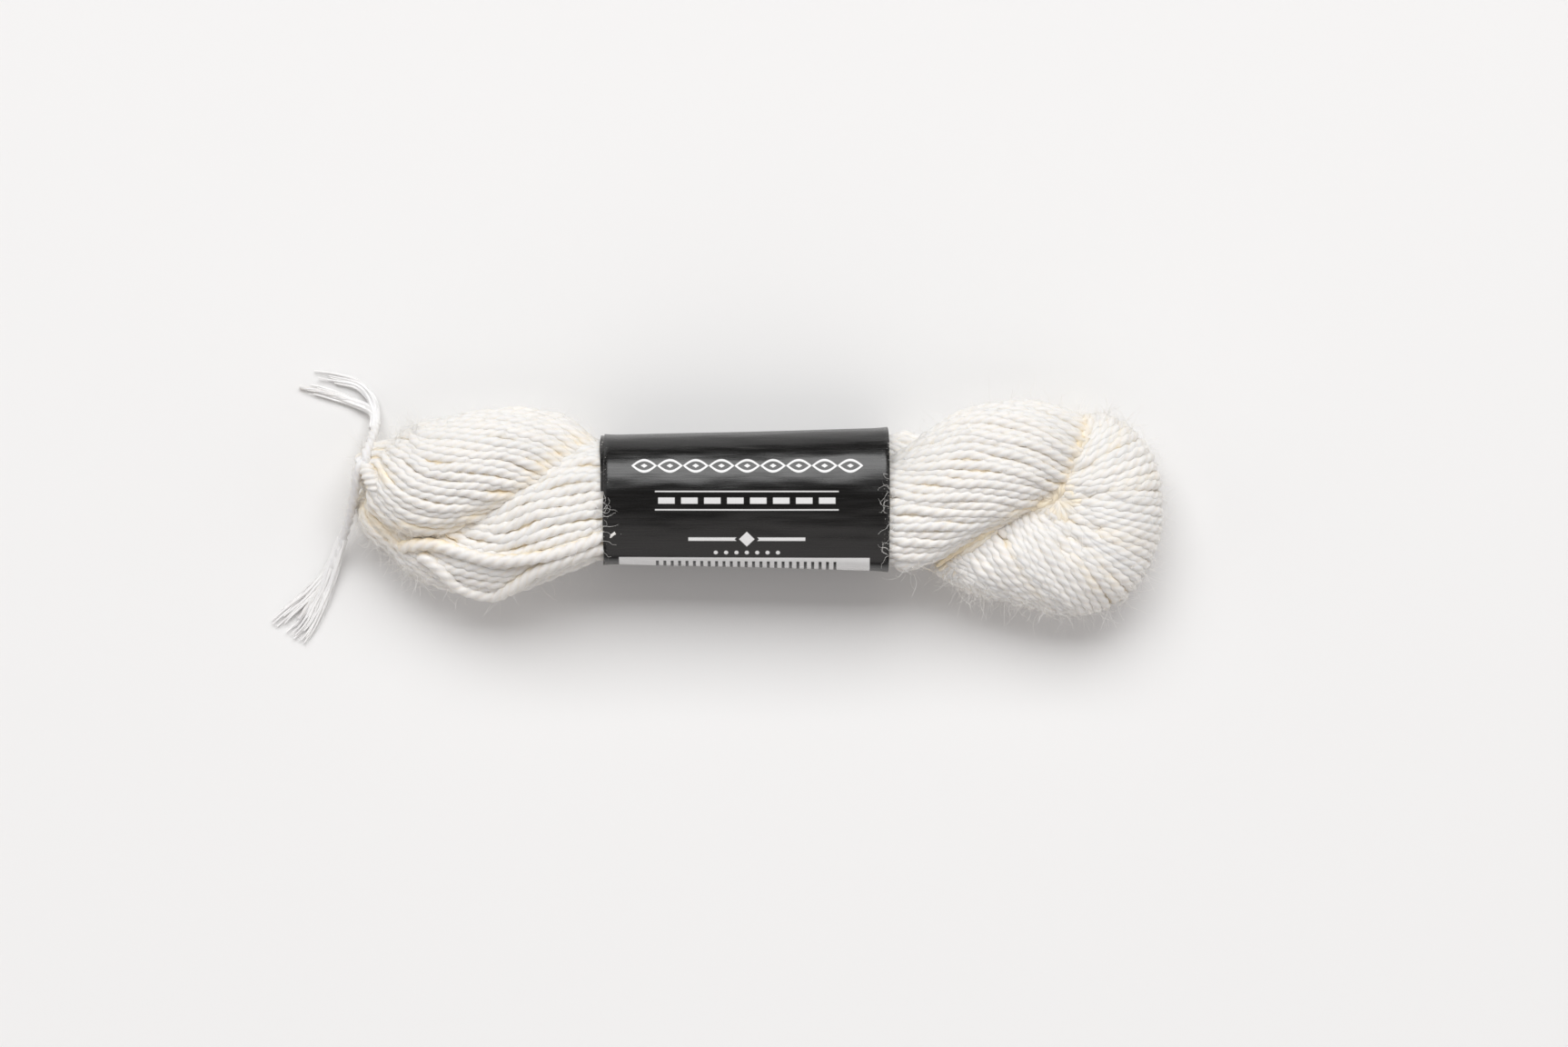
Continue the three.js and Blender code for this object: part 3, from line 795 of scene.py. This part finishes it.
# A ply's middle, its sideways and upward directions and its sizes, at some shares of its rows
def plySections(rows, shares):
    value, slope = smoothRows(rows, shares)
    along = unit(slope[:, :3])
    side = unit(np.cross(straightUp, along))
    return value[:, :3], side, np.cross(along, side), value[:, 3:]


def plyThreads(rows, fromX, toX, dice):
    middle, side, up, size = plySections(rows, np.linspace(0, 1, 700))
    kept = (middle[:, 0] >= fromX) & (middle[:, 0] <= toX)
    middle, side, up, size = middle[kept], side[kept], up[kept], size[kept]
    gone = distances(middle)
    thick = floss["across"] / 2
    around = 2 * math.pi * np.sqrt(((size[:, 0] - thick) ** 2 + (size[:, 1] - thick) ** 2) / 2)
    lay = np.gradient(np.radians(size[:, 2]), gone) * around / (2 * math.pi)
    gap = around / floss["plyThreads"] / np.hypot(1, lay)
    crowd = np.clip(1 - gap / floss["gap"], 0, 1)
    routes = []
    for k in range(floss["plyThreads"]):
        swell = np.clip(1.03 - 0.75 * crowd, 0.5, 1.03) * (1 + 0.08 * slowWave(gone, 7, dice))
        stray = floss["sideways"] * 2 * math.pi / floss["plyThreads"] * slowWave(gone, 14, dice)
        turn = 2 * math.pi * k / floss["plyThreads"] + np.radians(size[:, 2]) + stray
        sink = crowd * floss["sinkCrowded"][k % 2] + 0.1 - floss["lift"] * slowWave(gone, 13, dice)
        across = np.maximum(size[:, 0] - thick - sink, 0.15)
        deep = np.maximum(size[:, 1] - thick - sink, 0.15)
        route = middle + side * (across * np.cos(turn))[:, None] + up * (deep * np.sin(turn))[:, None]
        route = drawnIn(route, thick * floss["offFloor"])
        count = max(8, int(lineLength(route) / floss["routeStep"]))
        picked = np.linspace(0, len(route) - 1, count).round().astype(int)
        out = side * (np.cos(turn) / across)[:, None] + up * (np.sin(turn) / deep)[:, None]
        routes.append((route[picked], swell[picked], dice.random(), unit(out)[picked]))
    return routes


# The head's height, half its depth, and half the way from its eye to its rim, at bearings in degrees
def headSection(degrees):
    reach, height, deep = (np.interp(degrees, [r[0] for r in head], [r[c] for r in head]) for c in (1, 2, 3))
    return height, deep, (reach - headEye) / 2


# Points so far out from the head's middle, at bearings in radians
def roundHead(out, bearing, height):
    x, y = headMiddle
    columns = np.broadcast_arrays(x + out * np.cos(bearing), y + out * np.sin(bearing), height)
    return np.stack(columns, axis=1)


def headThreads(dice):
    along = np.sin(np.linspace(-0.16, 1, 30) * math.pi / 2)
    early = np.minimum(along, 0)
    ways = []
    for guide in headGuides:
        way, slope = smoothRows(guide, np.maximum(along, 0))
        ways.append(way + slope * 2 * early[:, None])
    ways = np.array(ways)
    # even the threads out where their ways lie furthest apart
    steps = np.linalg.norm(np.diff(ways[:, ::7], axis=0), axis=2).max(axis=1)
    gone = np.concatenate([[0], np.cumsum(steps)])
    thick = floss["across"] / 2
    dive = floss["dive"] * np.concatenate([early, np.zeros(len(along) - 1)])
    routes = []
    for k in range(floss["headThreads"]):
        place = gone[-1] * (k + 0.5 + 0.22 * dice.uniform(-1, 1)) / floss["headThreads"]
        share = np.interp(place, gone, np.linspace(0, 1, len(gone)))
        plan, _ = smoothRows(ways.reshape(len(ways), -1), [share])
        plan = plan.reshape(-1, 2) - np.array(headMiddle)
        bearing = np.unwrap(np.arctan2(plan[:, 1], plan[:, 0]))
        if bearing[-1] > math.radians(110):
            bearing -= 2 * math.pi
        _, _, across = headSection(np.degrees(bearing))
        portion = (np.hypot(plan[:, 0], plan[:, 1]) - headEye) / (2 * across)
        portion = np.clip(portion / portion[-1], 0, 1)
        turn = np.arccos(1 - 2 * portion)
        # the same way back underneath, mirrored about the rim
        turn = np.concatenate([turn, 2 * math.pi - turn[-2::-1]])
        bearing = np.concatenate([bearing, 2 * bearing[-1] - bearing[-2::-1]])
        height, deep, across = headSection(np.degrees(bearing))
        walked = np.linspace(0, floss["headWay"], len(turn))
        crowd = np.clip(1 - np.concatenate([portion, portion[-2::-1]]) * 3.0, 0, 1)
        sink = crowd * floss["sinkAtPinch"][k % 2] + 0.08 - floss["lift"] * slowWave(walked, 12, dice)
        # the inner side stands up steeply from the pinch, so that no hole shows there
        onTop = turn < math.pi / 2
        crest = np.where(onTop, np.maximum(np.sin(turn), 0) ** 0.4, np.sin(turn))
        out = headEye + across - (across - thick - sink) * np.cos(turn)
        route = roundHead(out, bearing, height + (deep - thick - sink) * crest + dive)
        route[:, 2] -= furrowDeep * nearLines(route, furrowPoints, furrowWide) * onTop
        route[:, 2] += headRise["up"] * nearLines(route, risePoints, headRise["wide"]) * onTop
        route[:, 2] = np.maximum(route[:, 2], thick * floss["offFloor"])
        swell = (1.02 - 0.35 * crowd) * (1 + 0.08 * slowWave(walked, 7, dice))
        inOut = -np.cos(turn)
        outward = np.stack([inOut * np.cos(bearing), inOut * np.sin(bearing), np.sin(turn)], axis=1)
        routes.append((route, swell, dice.random(), unit(outward)))
    return routes


# Short threads from the middle of the pinch outwards, and a few along the crease that runs into it
def pinchThreads(dice):
    routes = []
    for degrees in np.arange(*pinch["fan"]):
        reach = pinch["longReach"] if degrees < pinch["shortFrom"] else pinch["shortReach"]
        bearing = math.radians(degrees + dice.uniform(-4, 4))
        height = np.array(pinch["heights"]) + dice.uniform(-0.15, 0.1)
        route = roundHead(np.array(pinch["outwards"]) * reach, bearing, height)
        path, _ = smoothRows(route, np.linspace(0, 1, 30))
        routes.append((evenPoints(path, 8), pinch["swell"], dice.random(), (0, 0, 0.6)))
    line, slope = smoothRows(evenPoints(creases[1], 30), np.linspace(0.04, 0.94, 60))
    side = unit(np.stack([-slope[:, 1], slope[:, 0]], axis=1))
    dip = np.interp(np.arange(60), [0, 14], [pinch["bedDip"], 0])
    swell = np.interp(np.arange(30), [0, 5], pinch["bedSwell"])
    for off, height in pinch["bed"]:
        height = height - dip + 0.15 * slowWave(np.linspace(0, 24, 60), 6, dice)
        route = np.column_stack([line + side * off, height])
        routes.append((evenPoints(route, 30), swell, dice.random(), (0, 0, 0.45)))
    return routes


# Threads round the head's two ends, where it goes under the plies
def closingThreads(dice):
    routes = []
    thick = floss["across"] / 2
    for degrees in closing["bearings"]:
        height, deep, across = headSection(degrees)
        start = closing["fromLow"] if closing["lowFrom"] < degrees < 0 else closing["from"]
        turn = np.linspace(start, closing["to"], 40) * math.pi
        inward = thick + 0.1 * slowWave(np.linspace(0, 30, 40), 12, dice)
        out = headEye + across - (across - inward) * np.cos(turn)
        lean = math.radians(degrees) + math.copysign(0.06, degrees) * np.sin(turn)
        route = roundHead(out, lean, np.maximum(height + (deep - inward) * np.sin(turn), thick))
        routes.append((route, 0.98, dice.random(), (0.3, math.copysign(0.9, degrees), 0.2)))
    return routes


# The faces between rows of points, and round each row when it is closed
def gridFaces(rowCount, around, closed):
    faces = []
    for i in range(rowCount - 1):
        for j in range(around if closed else around - 1):
            a, b = i * around + j, i * around + (j + 1) % around
            faces.append((a, b, b + around, a + around))
    return faces


# A closed tube of faces through rings of points
def tube(rings, firstPoint):
    around = len(rings[0])
    faces = gridFaces(len(rings), around, True)
    faces.append(tuple(reversed(range(around))))
    faces.append(tuple((len(rings) - 1) * around + j for j in range(around)))
    return [tuple(firstPoint + corner for corner in face) for face in faces]


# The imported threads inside, seen between the outer ones, as three closed lengths and a plug in the pinch
def makeCore(material):
    circle = np.linspace(0, 2 * math.pi, 40, endpoint=False)
    inset, floor = floss["coreInset"], floss["coreFloor"]
    lengths = []
    for rows in (firstPly, secondPly):
        rings = []
        for middle, side, up, size in zip(*plySections(rows, np.linspace(0.02, 0.98, 120))):
            across, deep = np.maximum(size[:2] - inset, 0.2)
            ring = middle + np.outer(across * np.cos(circle), side) + np.outer(deep * np.sin(circle), up)
            rings.append(drawnIn(ring, floor))
        lengths.append(rings)
    rings = []
    for degrees in np.linspace(-148, 92, 106):
        height, deep, across = headSection(degrees)
        out = headEye + across - (across - inset) * np.cos(circle)
        height = np.maximum(height + (deep - inset) * np.sin(circle), floor)
        rings.append(roundHead(out, math.radians(degrees), height))
    lengths.append(rings)
    rings = []
    for up in np.linspace(-1, 1, 17)[1:-1]:
        across = pinch["plugAcross"] * math.sqrt(1 - up**2)
        rings.append(roundHead(across, circle, pinch["plugLevel"] + pinch["plugDeep"] * up))
    lengths.append(rings)
    points, faces = [], []
    for rings in lengths:
        faces += tube(rings, len(points))
        points += [p for ring in rings for p in ring]
    core = putInScene("hankCore", meshOf("hankCore", np.array(points) * mm, faces))
    core.data.materials.append(material)
    return core


# A thread through given plan points, resting on the uppermost ply
def restOn(points, lift):
    heights = []
    for x, y in points:
        top = 0.6
        for rows in (firstPly, secondPly):
            value, _ = smoothRows(rows, np.linspace(0, 1, 400))
            near = value[np.argmin(np.abs(value[:, 0] - x))]
            off = (y - near[1]) / near[3]
            if abs(off) < 1:
                top = max(top, near[2] + near[4] * math.sqrt(1 - off * off))
        heights.append(top + lift)
    return [(x, y, z) for (x, y), z in zip(points, heights)]


loose = {
    "lift": 0.25,  # above the ply below
    "startDrop": (2.0, 1.2, 0.5),
    "offFloor": 0.3,
    "swell": 1.12,
}
looseWays = [
    [(-49.2, -5.3), (-47.3, -4.9), (-44.3, -4.8), (-41.4, -5.7), (-38.6, -6.5), (-36.0, -7.0), (-32.9, -6.9),
     (-29.3, -6.4), (-25.7, -5.4), (-21.4, -3.8), (-19.0, -3.2)],
    [(-46.7, -6.2), (-44.9, -7.2), (-43.0, -8.9), (-41.4, -10.5), (-38.8, -11.5), (-36.2, -11.8),
     (-33.8, -10.7), (-30.7, -8.6), (-27.0, -7.0), (-23.3, -5.8), (-21.4, -5.2), (-19.0, -4.6)],
]


def looseThreads(dice):
    routes = []
    for way in looseWays:
        path, _ = smoothRows(restOn(way, loose["lift"]), np.linspace(0, 1, 60))
        path[:3, 2] -= np.array(loose["startDrop"])
        path = drawnIn(evenPoints(path, 40), loose["offFloor"])
        routes.append((path, loose["swell"], dice.random(), (0, -0.3, 0.95)))
    return routes


# Fine fibres that stand off the threads, most of them where the hank is seen from its side
fuzz = {
    "count": 4500,
    "shortest": 0.8,
    "longest": 4.2,
    "fibre": {"half": 0.026, "groove": 0.0, "pitch": 4.4, "step": 0.3, "strands": 1, "around": 3},
    "curl": 0.85,
    "overBand": 14,
    "bare": (-22.5, 18.5),  # none starts between these, at the band
    "atTie": 3.2,
    "inFront": 1.8,
    "atHead": 1.5,
    "seed": 12,
}


def strayFibres(routes):
    dice = random.Random(fuzz["seed"])
    roots, weights = [], []
    for route, _, _, out in routes:
        out = np.broadcast_to(np.asarray(out, float), (len(route), 3))
        for k in range(1, len(route) - 1):
            x, y, z = route[k]
            if z < 1.0 or fuzz["bare"][0] < x < fuzz["bare"][1] or out[k][2] < -0.5:
                continue
            more = (fuzz["atTie"] if x < -46 else 1) * (fuzz["inFront"] if y < -7 else 1)
            weight = (0.10 + (1 - abs(out[k][2])) ** 1.5) * (more * (fuzz["atHead"] if x > 48 else 1))
            roots.append((route[k], unit(np.asarray(route[k + 1] - route[k - 1])), out[k]))
            weights.append(weight)
    fibres = []
    for root, along, out in dice.choices(roots, weights, k=fuzz["count"]):
        length = fuzz["shortest"] + (fuzz["longest"] - fuzz["shortest"]) * dice.random() ** 2.2
        way = along * dice.choice((-1, 1)) * dice.uniform(0.3, 1.2) + out * dice.uniform(0.25, 0.9)
        bend = np.array([dice.gauss(0, 1) for _ in range(3)]) * fuzz["curl"]
        spot = np.array(root) + out * floss["across"] * 0.4
        points = [spot]
        for step in range(8):
            way = unit(way + bend * 0.3)
            bend = bend * 0.9 + np.array([dice.gauss(0, 1) for _ in range(3)]) * fuzz["curl"] * 0.45
            spot = spot + way * length / 8
            spot[2] = max(spot[2], 0.04)
            points.append(spot)
        fibres.append((points, np.linspace(1.0, 0.45, len(points)), dice.random(), straightUp))
    return fibres


# A few fibres from the threads beside the band lie over its edges
def edgeFibres():
    dice = random.Random(fuzz["seed"] + 1)
    tops = outlineDense[outlineDense[:, 1] > 0]
    tops = tops[np.argsort(tops[:, 0])]
    fibres = []
    for edge, way, low, high in ((band["from"], 1, -7.5, 1.5), (band["to"], -1, -7.5, 5.0)):
        for _ in range(fuzz["overBand"]):
            y, heading = dice.uniform(low, high), dice.gauss(0, 0.5)
            points = []
            x = edge - way * dice.uniform(0.9, 1.5)
            for step in range(9):
                over = (y - band["middle"]) / float(bandScale(x))
                top = np.interp(over, tops[:, 0], tops[:, 1]) + band["middleUp"]
                lift = (-1.1, -0.3)[step] if step < 2 else dice.uniform(0.08, 0.3)
                points.append((x, y, top + lift))
                heading += dice.gauss(0, 0.75) if step > 1 else 0
                stride = 0.75 if step < 2 else dice.uniform(0.2, 0.42)
                x += way * stride * math.cos(heading)
                y += stride * math.sin(heading)
            fibres.append((np.array(points), np.linspace(1.0, 0.5, 9), dice.random(), straightUp))
    return fibres


dice = random.Random(floss["seed"])
threads = {}
for name, rows in (("firstPlyThreads", firstPly), ("secondPlyThreads", secondPly)):
    threads[name] = plyThreads(rows, -60, floss["hiddenFrom"], dice)
    threads[name] += plyThreads(rows, floss["hiddenTo"], 60, dice)
threads["headThreads"] = headThreads(dice) + pinchThreads(dice) + closingThreads(dice)
threads["looseThreads"] = looseThreads(dice)
flossSizes = {"half": floss["across"] / 2, **{size: floss[size] for size in ("groove", "pitch", "step")}}
hankPieces = [makeCore(silkThread)]
for name, routes in threads.items():
    hankPieces.append(spinThreads(name, routes, silkThread, **flossSizes))
fibres = strayFibres(sum(threads.values(), [])) + edgeFibres()
hankPieces.append(spinThreads("hankFuzz", fibres, silkFuzz, **fuzz["fibre"]))
for piece in hankPieces:
    dress(piece, "hank")
    print(piece.name, len(piece.data.polygons), "faces")

# The band is a strip of black coated paper, wrapped round the waist and lapped over itself
paper = {
    "thick": 0.12,
    "lapEnd": 0.228,  # where the inner end lies, as a share of the way round from the +Y side
    "turns": 1.43,
    "lapDepth": 0.19,
    "outShift": 0.45,  # the outer layer starts this far inside the inner one's edge
    "stationsAlong": 45,
    "stationsRound": 300,
    "buckle": 0.07,
    "overLeft": 0.4,  # how far it goes past the waist at its two ends
    "overRight": -0.05,
    "rightFlare": 0.22,
    "edgeLift": 0.16,
    "inside": 0.1,  # its outer face is this far inside the outline
    "seed": 7,
}
paperLook = {
    "black": (0.0040, 0.0037, 0.0035),
    "worn": (0.060, 0.057, 0.055),
    "print": (0.80, 0.80, 0.80),
    "bare": (0.82, 0.80, 0.76),
    "edge": [(0.16, 0.15, 0.14), (0.42, 0.40, 0.37)],
    "roughness": 0.23,
    "rubbed": 0.14,  # how much rougher it is where it is rubbed
    "gloss": 0.6,
}
# Plain sewing marks stand where a label has its words. Places are along the band and round it from its top.
printed = {
    "chain": {"round": 4.85, "from": -17.6, "to": 13.7, "link": 3.48, "half": 1.0, "line": 0.17,
              "bead": 0.46},  # a bead lies in each link
    "stitches": {"round": 0.0, "from": -14.4, "to": 10.4, "step": 3.1, "dash": 0.72, "half": 0.42},
    "sideLines": {"off": 1.25, "half": 0.09},
    "rule": {"round": -5.3, "from": -9.9, "to": 5.9, "half": 0.24, "diamond": 1.05, "clear": 1.65},
    "dots": {"round": -7.25, "from": -6.9, "to": 2.9, "step": 1.4, "dot": 0.28},
    "strip": {"from": -19.3, "to": 14.6, "top": -8.05, "bottom": -15.6},
    "ticks": {"from": -14.6, "to": 10.3, "top": -8.75, "bottom": -13.4, "long": -14.4, "step": 1.0,
              "half": 0.2},
}


def bandSheet():
    dice = random.Random(paper["seed"])
    along = np.linspace(0, 1, paper["stationsAlong"])
    walked = np.linspace(0, paper["turns"], paper["stationsRound"])
    way = paper["lapEnd"] - walked
    outline, slope = smoothRows(bandOutline, way % 1.0, closed=True)
    slope = unit(slope)
    outward = np.stack([slope[:, 1], -slope[:, 0]], axis=1)
    # the strip climbs over its own inner end after one turn
    climb = np.clip((walked - 0.72) / 0.22, 0, 1)
    depth = paper["lapDepth"] * (1 - climb * climb * (3 - 2 * climb))
    gone = distances(outline)
    # round the band, measured from the middle of its top on the outer layer
    top = np.argmin(np.abs(outline[:, 0]) + 50 * (outline[:, 1] < 12) + 50 * (walked < 0.9))
    measured = gone - gone[top]
    waves = [slowWave(walked * 55, 21 + 5 * k, dice) for k in range(3)]
    rows, rounds = [], []
    for share in along:
        shift = paper["outShift"] * np.clip((walked - 0.55) / 0.3, 0, 1)
        left = band["from"] - paper["overLeft"] + shift + 0.12 * waves[0]
        flare = paper["rightFlare"] * np.clip((outline[:, 1] - 9) / 7, 0, 1)
        right = band["to"] + paper["overRight"] + flare + 0.05 * waves[1]
        x = left + (right - left) * share
        scale = bandScale(x)
        edge = np.minimum(share, 1 - share) * 38
        lift = paper["buckle"] * waves[2] * math.sin(2.2 * math.pi * share + 0.8)
        lift += paper["edgeLift"] * math.exp(-edge / 0.7)
        push = -depth + np.minimum(lift, paper["edgeLift"]) - paper["inside"]
        y = band["middle"] + outline[:, 0] * scale + outward[:, 0] * push
        z = np.maximum(outline[:, 1] + outward[:, 1] * push, 0.16)
        rows.append(np.stack([x, y, z], axis=1))
        rounds.append(np.stack([x, measured * scale], axis=1))
    return np.array(rows), np.array(rounds)


def makeBand(materials):
    rows, rounds = bandSheet()
    faces = [(a, d, c, b) for a, b, c, d in gridFaces(*rows.shape[:2], False)]
    mesh = meshOf("paperBand", rows.reshape(-1, 3) * mm, faces)
    places = rounds.reshape(-1, 2)
    layer = mesh.uv_layers.new(name="labelMm")
    for loop in mesh.loops:
        layer.data[loop.index].uv = places[loop.vertex_index]
    for material in materials:
        mesh.materials.append(material)
    piece = putInScene("paperBand", mesh)
    wall = piece.modifiers.new("paper", "SOLIDIFY")
    wall.thickness = paper["thick"] * mm
    wall.offset = -1
    wall.use_even_offset = False
    wall.material_offset = 1
    wall.material_offset_rim = 1
    return applied(piece)


# 1 inside a span of a coordinate and 0 outside, with a soft edge
def insideSpan(value, middle, half, soft=0.05):
    return mapRange(unsigned(minus(value, middle)), half - soft, half + soft, 1.0, 0.0)


def between(value, low, high, soft=0.05):
    return insideSpan(value, (low + high) / 2, (high - low) / 2, soft)


def inRow(x, row, soft=0.05):
    return between(x, row["from"], row["to"], soft)


def both(*masks):
    return reduce(times, masks)


def either(*masks):
    return reduce(larger, masks)


# Where a repeat stands in its step, from -0.5 to 0.5 of it, in millimetres
def repeated(value, start, step):
    share = maths("FRACT", over(minus(value, start), step))
    return times(minus(share, 0.5), step)


def sewingMarks(x, y):
    chain = printed["chain"]
    place = repeated(x, chain["from"], chain["link"])
    tall = times(chain["half"], maths("COSINE", times(place, math.pi / chain["link"])))
    off = unsigned(minus(y, chain["round"]))
    links = insideSpan(minus(off, tall), -chain["line"], chain["line"])
    beads = plus(unsigned(place), times(off, 1.6))
    beads = mapRange(beads, chain["bead"] - 0.04, chain["bead"] + 0.04, 1.0, 0.0)
    chains = both(either(links, beads), inRow(x, chain))

    stitch, sideLine = printed["stitches"], printed["sideLines"]
    run = inRow(x, stitch)
    place = repeated(x, stitch["from"], stitch["step"])
    dashes = both(insideSpan(place, 0.0, stitch["dash"] * stitch["step"] / 2),
                  insideSpan(y, stitch["round"], stitch["half"]), run)
    off = unsigned(minus(y, stitch["round"]))
    lines = both(insideSpan(off, sideLine["off"], sideLine["half"], 0.04), run)

    rule = printed["rule"]
    bar = both(insideSpan(y, rule["round"], rule["half"]), inRow(x, rule))
    far = plus(unsigned(minus(x, (rule["from"] + rule["to"]) / 2)), unsigned(minus(y, rule["round"])))
    diamond = mapRange(far, rule["diamond"] - 0.05, rule["diamond"] + 0.05, 1.0, 0.0)
    clear = mapRange(far, rule["clear"] - 0.05, rule["clear"] + 0.05, 0.0, 1.0)
    rules = either(both(bar, clear), diamond)

    dot = printed["dots"]
    place = repeated(x, dot["from"], dot["step"])
    size = addNode(x.id_data, "ShaderNodeCombineXYZ", {0: place, 1: minus(y, dot["round"])}).outputs[0]
    size = addNode(x.id_data, "ShaderNodeVectorMath", {0: size}, operation="LENGTH").outputs["Value"]
    size = mapRange(size, dot["dot"] - 0.05, dot["dot"] + 0.05, 1.0, 0.0)
    dots = both(size, inRow(x, dot))
    return either(chains, dashes, lines, rules, dots)


# A white strip with even ticks, every fifth of them long
def tickStrip(x, y):
    strip, tick = printed["strip"], printed["ticks"]
    white = both(inRow(x, strip, 0.06), between(y, strip["bottom"], strip["top"], 0.06))
    bars = insideSpan(repeated(x, tick["from"], tick["step"]), 0.0, tick["half"])
    fifth = insideSpan(repeated(x, tick["from"], tick["step"] * 5), 0.0, tick["step"] / 2)
    tall = either(between(y, tick["bottom"], tick["top"]), both(fifth, between(y, tick["long"], tick["top"])))
    bars = both(bars, tall, inRow(x, tick))
    return minus(white, both(bars, white))


def paperMaterial():
    look = paperLook
    made, tree, shader = newMaterial("blackPaper")
    place = addNode(tree, "ShaderNodeUVMap", uv_map="labelMm").outputs[0]
    x, y, _ = addNode(tree, "ShaderNodeSeparateXYZ", {0: place}).outputs
    fibres, grain, specks = noise(place, 2.2, 5.0), noise(place, 9.0, 3.0), noise(place, 3.4, 2.0)
    # fine rubbed lines along the band, most of them on the shoulder
    drawn = {"Vector": place, "Rotation": (0, 0, 0.06), "Scale": (0.11, 2.4, 1.0)}
    rubs = noise(addNode(tree, "ShaderNodeMapping", drawn).outputs[0], 1.0, 4.0, Roughness=0.7)
    shoulder = both(between(y, 5.6, 9.4, 0.8), mapRange(rubs, 0.58, 0.70, 0.0, 0.5))
    # the coating is rubbed off in specks near the edges
    nearEdge = mapRange(unsigned(minus(x, (band["from"] + band["to"]) / 2)), 18.3, 19.5, 0.0, 1.0)
    worn = either(shoulder, both(nearEdge, mapRange(fibres, 0.5, 0.75, 0.0, 0.6)))
    ink = both(either(sewingMarks(x, y), tickStrip(x, y)), mapRange(grain, 0.30, 0.42, 0.82, 1.0))
    nicks = both(nearEdge, mapRange(specks, 0.66, 0.70, 0.0, 0.8))
    tone = look["black"]
    for share, layer in ((worn, "worn"), (ink, "print"), (nicks, "bare")):
        tone = mixTones(share, tone, look[layer])
    broad = {"Vector": place, "Scale": (0.10, 0.35, 1.0)}
    waves = noise(addNode(tree, "ShaderNodeMapping", broad).outputs[0], 1.0, 1.0)
    relief = bumped(rubs, 0.25, 0.06, bumped(waves, 0.5, 0.4))
    setInputs(shader, {
        "Base Color": tone,
        "Roughness": mapRange(rubs, 0.4, 0.8, look["roughness"], look["roughness"] + look["rubbed"]),
        "Normal": bumped(grain, 0.2, 0.03, relief),
        "Specular IOR Level": look["gloss"],
    })
    return made


def edgeMaterial():
    made, tree, shader = newMaterial("paperEdge")
    place = addNode(tree, "ShaderNodeTexCoord").outputs["Object"]
    fibres = mapRange(noise(place, 2500.0, 3.0), 0.35, 0.7, 0.0, 1.0)
    setInputs(shader, {"Base Color": mixTones(fibres, *paperLook["edge"]), "Roughness": 0.75})
    return made


dress(makeBand([paperMaterial(), edgeMaterial()]), "band")
print("the band is wrapped")
